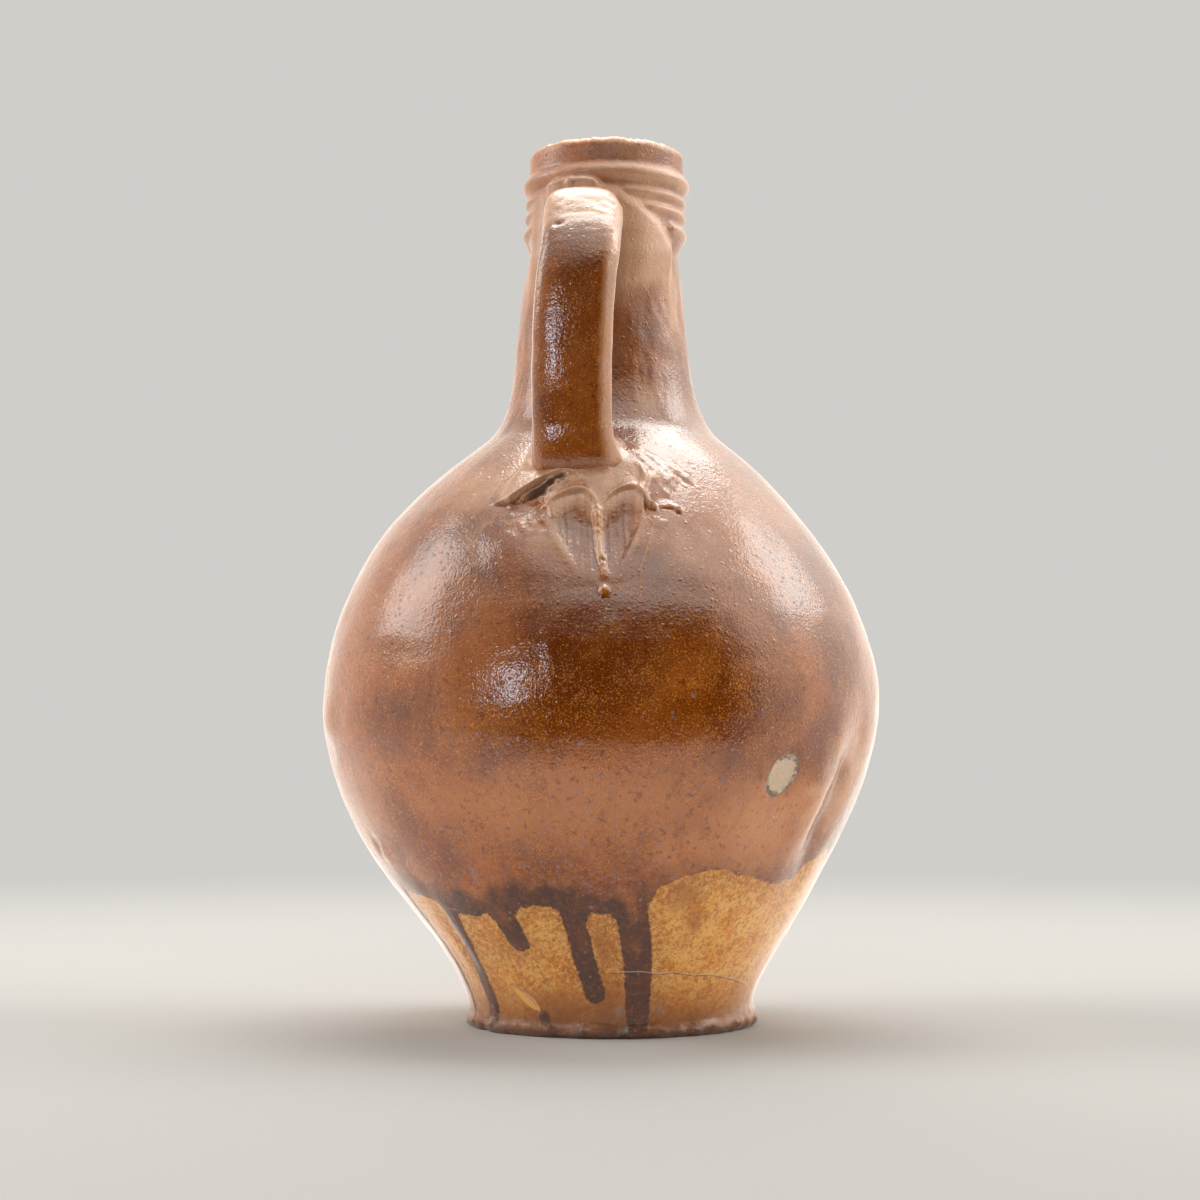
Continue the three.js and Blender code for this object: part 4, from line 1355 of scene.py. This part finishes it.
def paper_material(name, tone):
    """Pale paper that melts into the backdrop. In the glaze it ends at the table's front edge."""
    material = bpy.data.materials.new(name)
    material.use_nodes = True
    tree = material.node_tree
    tree.nodes.clear()
    where = add(tree, "TexCoord").outputs["Object"]
    ahead = add(tree, "SeparateXYZ", {0: where}).outputs[1]
    on_table = add(tree, "Math", {0: ahead, 1: TABLE_FRONT}, operation="GREATER_THAN")
    table = add(tree, "Mix", {0: on_table, 6: TABLE_DARK, 7: TABLE_WHITE}, data_type="RGBA")
    white = add(tree, "BsdfDiffuse", {"Color": table.outputs[2]})
    lit = add(tree, "BsdfDiffuse", {"Color": [FLOOR_LIT * part for part in tone[:3]] + [1]})
    far = add(tree, "Emission", {"Color": tone})
    away = {"Value": add(tree, "VectorMath", {0: where}, operation="LENGTH").outputs["Value"]}
    ends = {"From Min": FLOOR_FADE[0], "From Max": FLOOR_FADE[1]}
    fade = add(tree, "MapRange", {**away, **ends}, interpolation_type="SMOOTHSTEP")
    paper = add(tree, "MixShader", {0: fade, 1: lit, 2: far})
    end = add(tree, "MapRange", {**away, "From Min": TABLE_END[0], "From Max": TABLE_END[1]})
    table = add(tree, "MixShader", {0: end, 1: white, 2: add(tree, "BsdfTransparent")})
    seen = add(tree, "LightPath").outputs["Is Camera Ray"]
    both = add(tree, "MixShader", {0: seen, 1: table, 2: paper})
    add(tree, "OutputMaterial", {"Surface": both})
    return material


def light_room(world, tone):
    """A tent, brighter overhead and to the right, open at the camera. The lens sees plain paper."""
    world.use_nodes = True
    tree = world.node_tree
    tree.nodes.clear()
    way = add(tree, "TexCoord").outputs["Generated"]
    x, y, z = add(tree, "SeparateXYZ", {0: way}).outputs
    walls = add(tree, "MapRange", {"Value": x, **TENT_WALLS})
    tilted = add(tree, "Math", {0: x, 1: TENT_TILT, 2: z}, operation="MULTIPLY_ADD")
    roof = add(tree, "MapRange", {"Value": tilted, **TENT_ROOF}, interpolation_type="SMOOTHSTEP")
    tent = add(tree, "Math", {0: walls, 1: roof}, operation="ADD")
    flap = add(tree, "MapRange", {"Value": x, **TENT_FLAP})
    ends = {"From Min": TENT_OPEN, "From Max": flap}
    ahead = add(tree, "MapRange", {"Value": y, **ends}, interpolation_type="SMOOTHSTEP")
    low = add(tree, "MapRange", {"Value": z, **TENT_LOW}, interpolation_type="SMOOTHSTEP")
    opening = add(tree, "Math", {0: ahead, 1: low}, operation="MULTIPLY")
    closed = add(tree, "Math", {0: 1.0, 1: opening}, operation="SUBTRACT")
    level = add(tree, "Math", {0: tent, 1: closed}, operation="MULTIPLY")
    room = add(tree, "Background", {"Color": TENT, "Strength": level})
    paper = add(tree, "Background", {"Color": tone, "Strength": 1.0})
    seen = add(tree, "LightPath").outputs["Is Camera Ray"]
    both = add(tree, "MixShader", {0: seen, 1: room, 2: paper})
    add(tree, "OutputWorld", {"Surface": both})


def set_stage(context):
    """Pale floor, the tent, soft boxes and the camera."""
    scene = context.scene
    tone = list(scene.jug_colours.floor)
    bm = bmesh.new()
    bmesh.ops.create_circle(bm, cap_ends=True, segments=96, radius=FLOOR_RADIUS)
    mesh = bpy.data.meshes.new("studio_floor")
    bm.to_mesh(mesh)
    bm.free()
    mesh.materials.append(paper_material("pale_paper", tone))
    floor = bpy.data.objects.new("studio_floor", mesh)
    scene.collection.objects.link(floor)
    scene.world = bpy.data.worlds.new("white_tent")
    light_room(scene.world, tone)
    scene.world.cycles_visibility.diffuse = False
    for soft_box in SOFT_BOXES:
        add_light(*soft_box)
    lens = bpy.data.cameras.new("camera")
    lens.sensor_width = SENSOR_MM
    lens.lens = LENS_MM
    lens.clip_start, lens.clip_end = 0.01, 50
    camera = bpy.data.objects.new("camera", lens)
    camera.location = EYE
    camera.rotation_euler = (math.radians(EYE_TILT), 0, 0)
    scene.collection.objects.link(camera)
    scene.camera = camera
    scene.view_settings.view_transform = "Standard"


class JUG_OT_body(bpy.types.Operator):
    """Throw the bottle-shaped body."""

    bl_idname = "jug.body"
    bl_label = "Throw body"

    def execute(self, context):
        throw_body(context.scene.jug_sizes, glaze_of(context))
        return {"FINISHED"}


class JUG_OT_handle(bpy.types.Operator):
    """Pull the strap handle and wipe its tail on to the shoulder."""

    bl_idname = "jug.handle"
    bl_label = "Pull handle"

    def execute(self, context):
        form_handle(context.scene.jug_sizes, glaze_of(context))
        return {"FINISHED"}


class JUG_OT_mask(bpy.types.Operator):
    """Press the bearded mask on to the neck."""

    bl_idname = "jug.mask"
    bl_label = "Press mask"

    def execute(self, context):
        press_mask(context.scene.jug_sizes, glaze_of(context))
        return {"FINISHED"}


class JUG_OT_stage(bpy.types.Operator):
    """Set up the floor, the lights and the camera."""

    bl_idname = "jug.stage"
    bl_label = "Set stage"

    def execute(self, context):
        set_stage(context)
        return {"FINISHED"}


class JUG_PT_panel(bpy.types.Panel):
    """Sidebar panel with the jug's steps and settings."""

    bl_label = "Stoneware Jug"
    bl_idname = "JUG_PT_panel"
    bl_space_type = "VIEW_3D"
    bl_region_type = "UI"
    bl_category = "Jug"

    def draw(self, context):
        column = self.layout.column()
        for operator in (JUG_OT_stage, JUG_OT_body, JUG_OT_handle, JUG_OT_mask):
            column.operator(operator.bl_idname)
        for group, names in (("jug_sizes", JugSizes), ("jug_colours", JugColours)):
            for name in names.__annotations__:
                column.prop(getattr(context.scene, group), name)


CLASSES = (JugSizes, JugColours, JUG_OT_body, JUG_OT_handle, JUG_OT_mask, JUG_OT_stage, JUG_PT_panel)


def register():
    for cls in CLASSES:
        bpy.utils.register_class(cls)
    bpy.types.Scene.jug_sizes = bpy.props.PointerProperty(type=JugSizes)
    bpy.types.Scene.jug_colours = bpy.props.PointerProperty(type=JugColours)


def unregister():
    del bpy.types.Scene.jug_colours
    del bpy.types.Scene.jug_sizes
    for cls in reversed(CLASSES):
        bpy.utils.unregister_class(cls)


def main():
    register()
    bpy.ops.jug.stage()
    bpy.ops.jug.body()
    bpy.ops.jug.handle()
    bpy.ops.jug.mask()


if __name__ == "__main__":
    main()
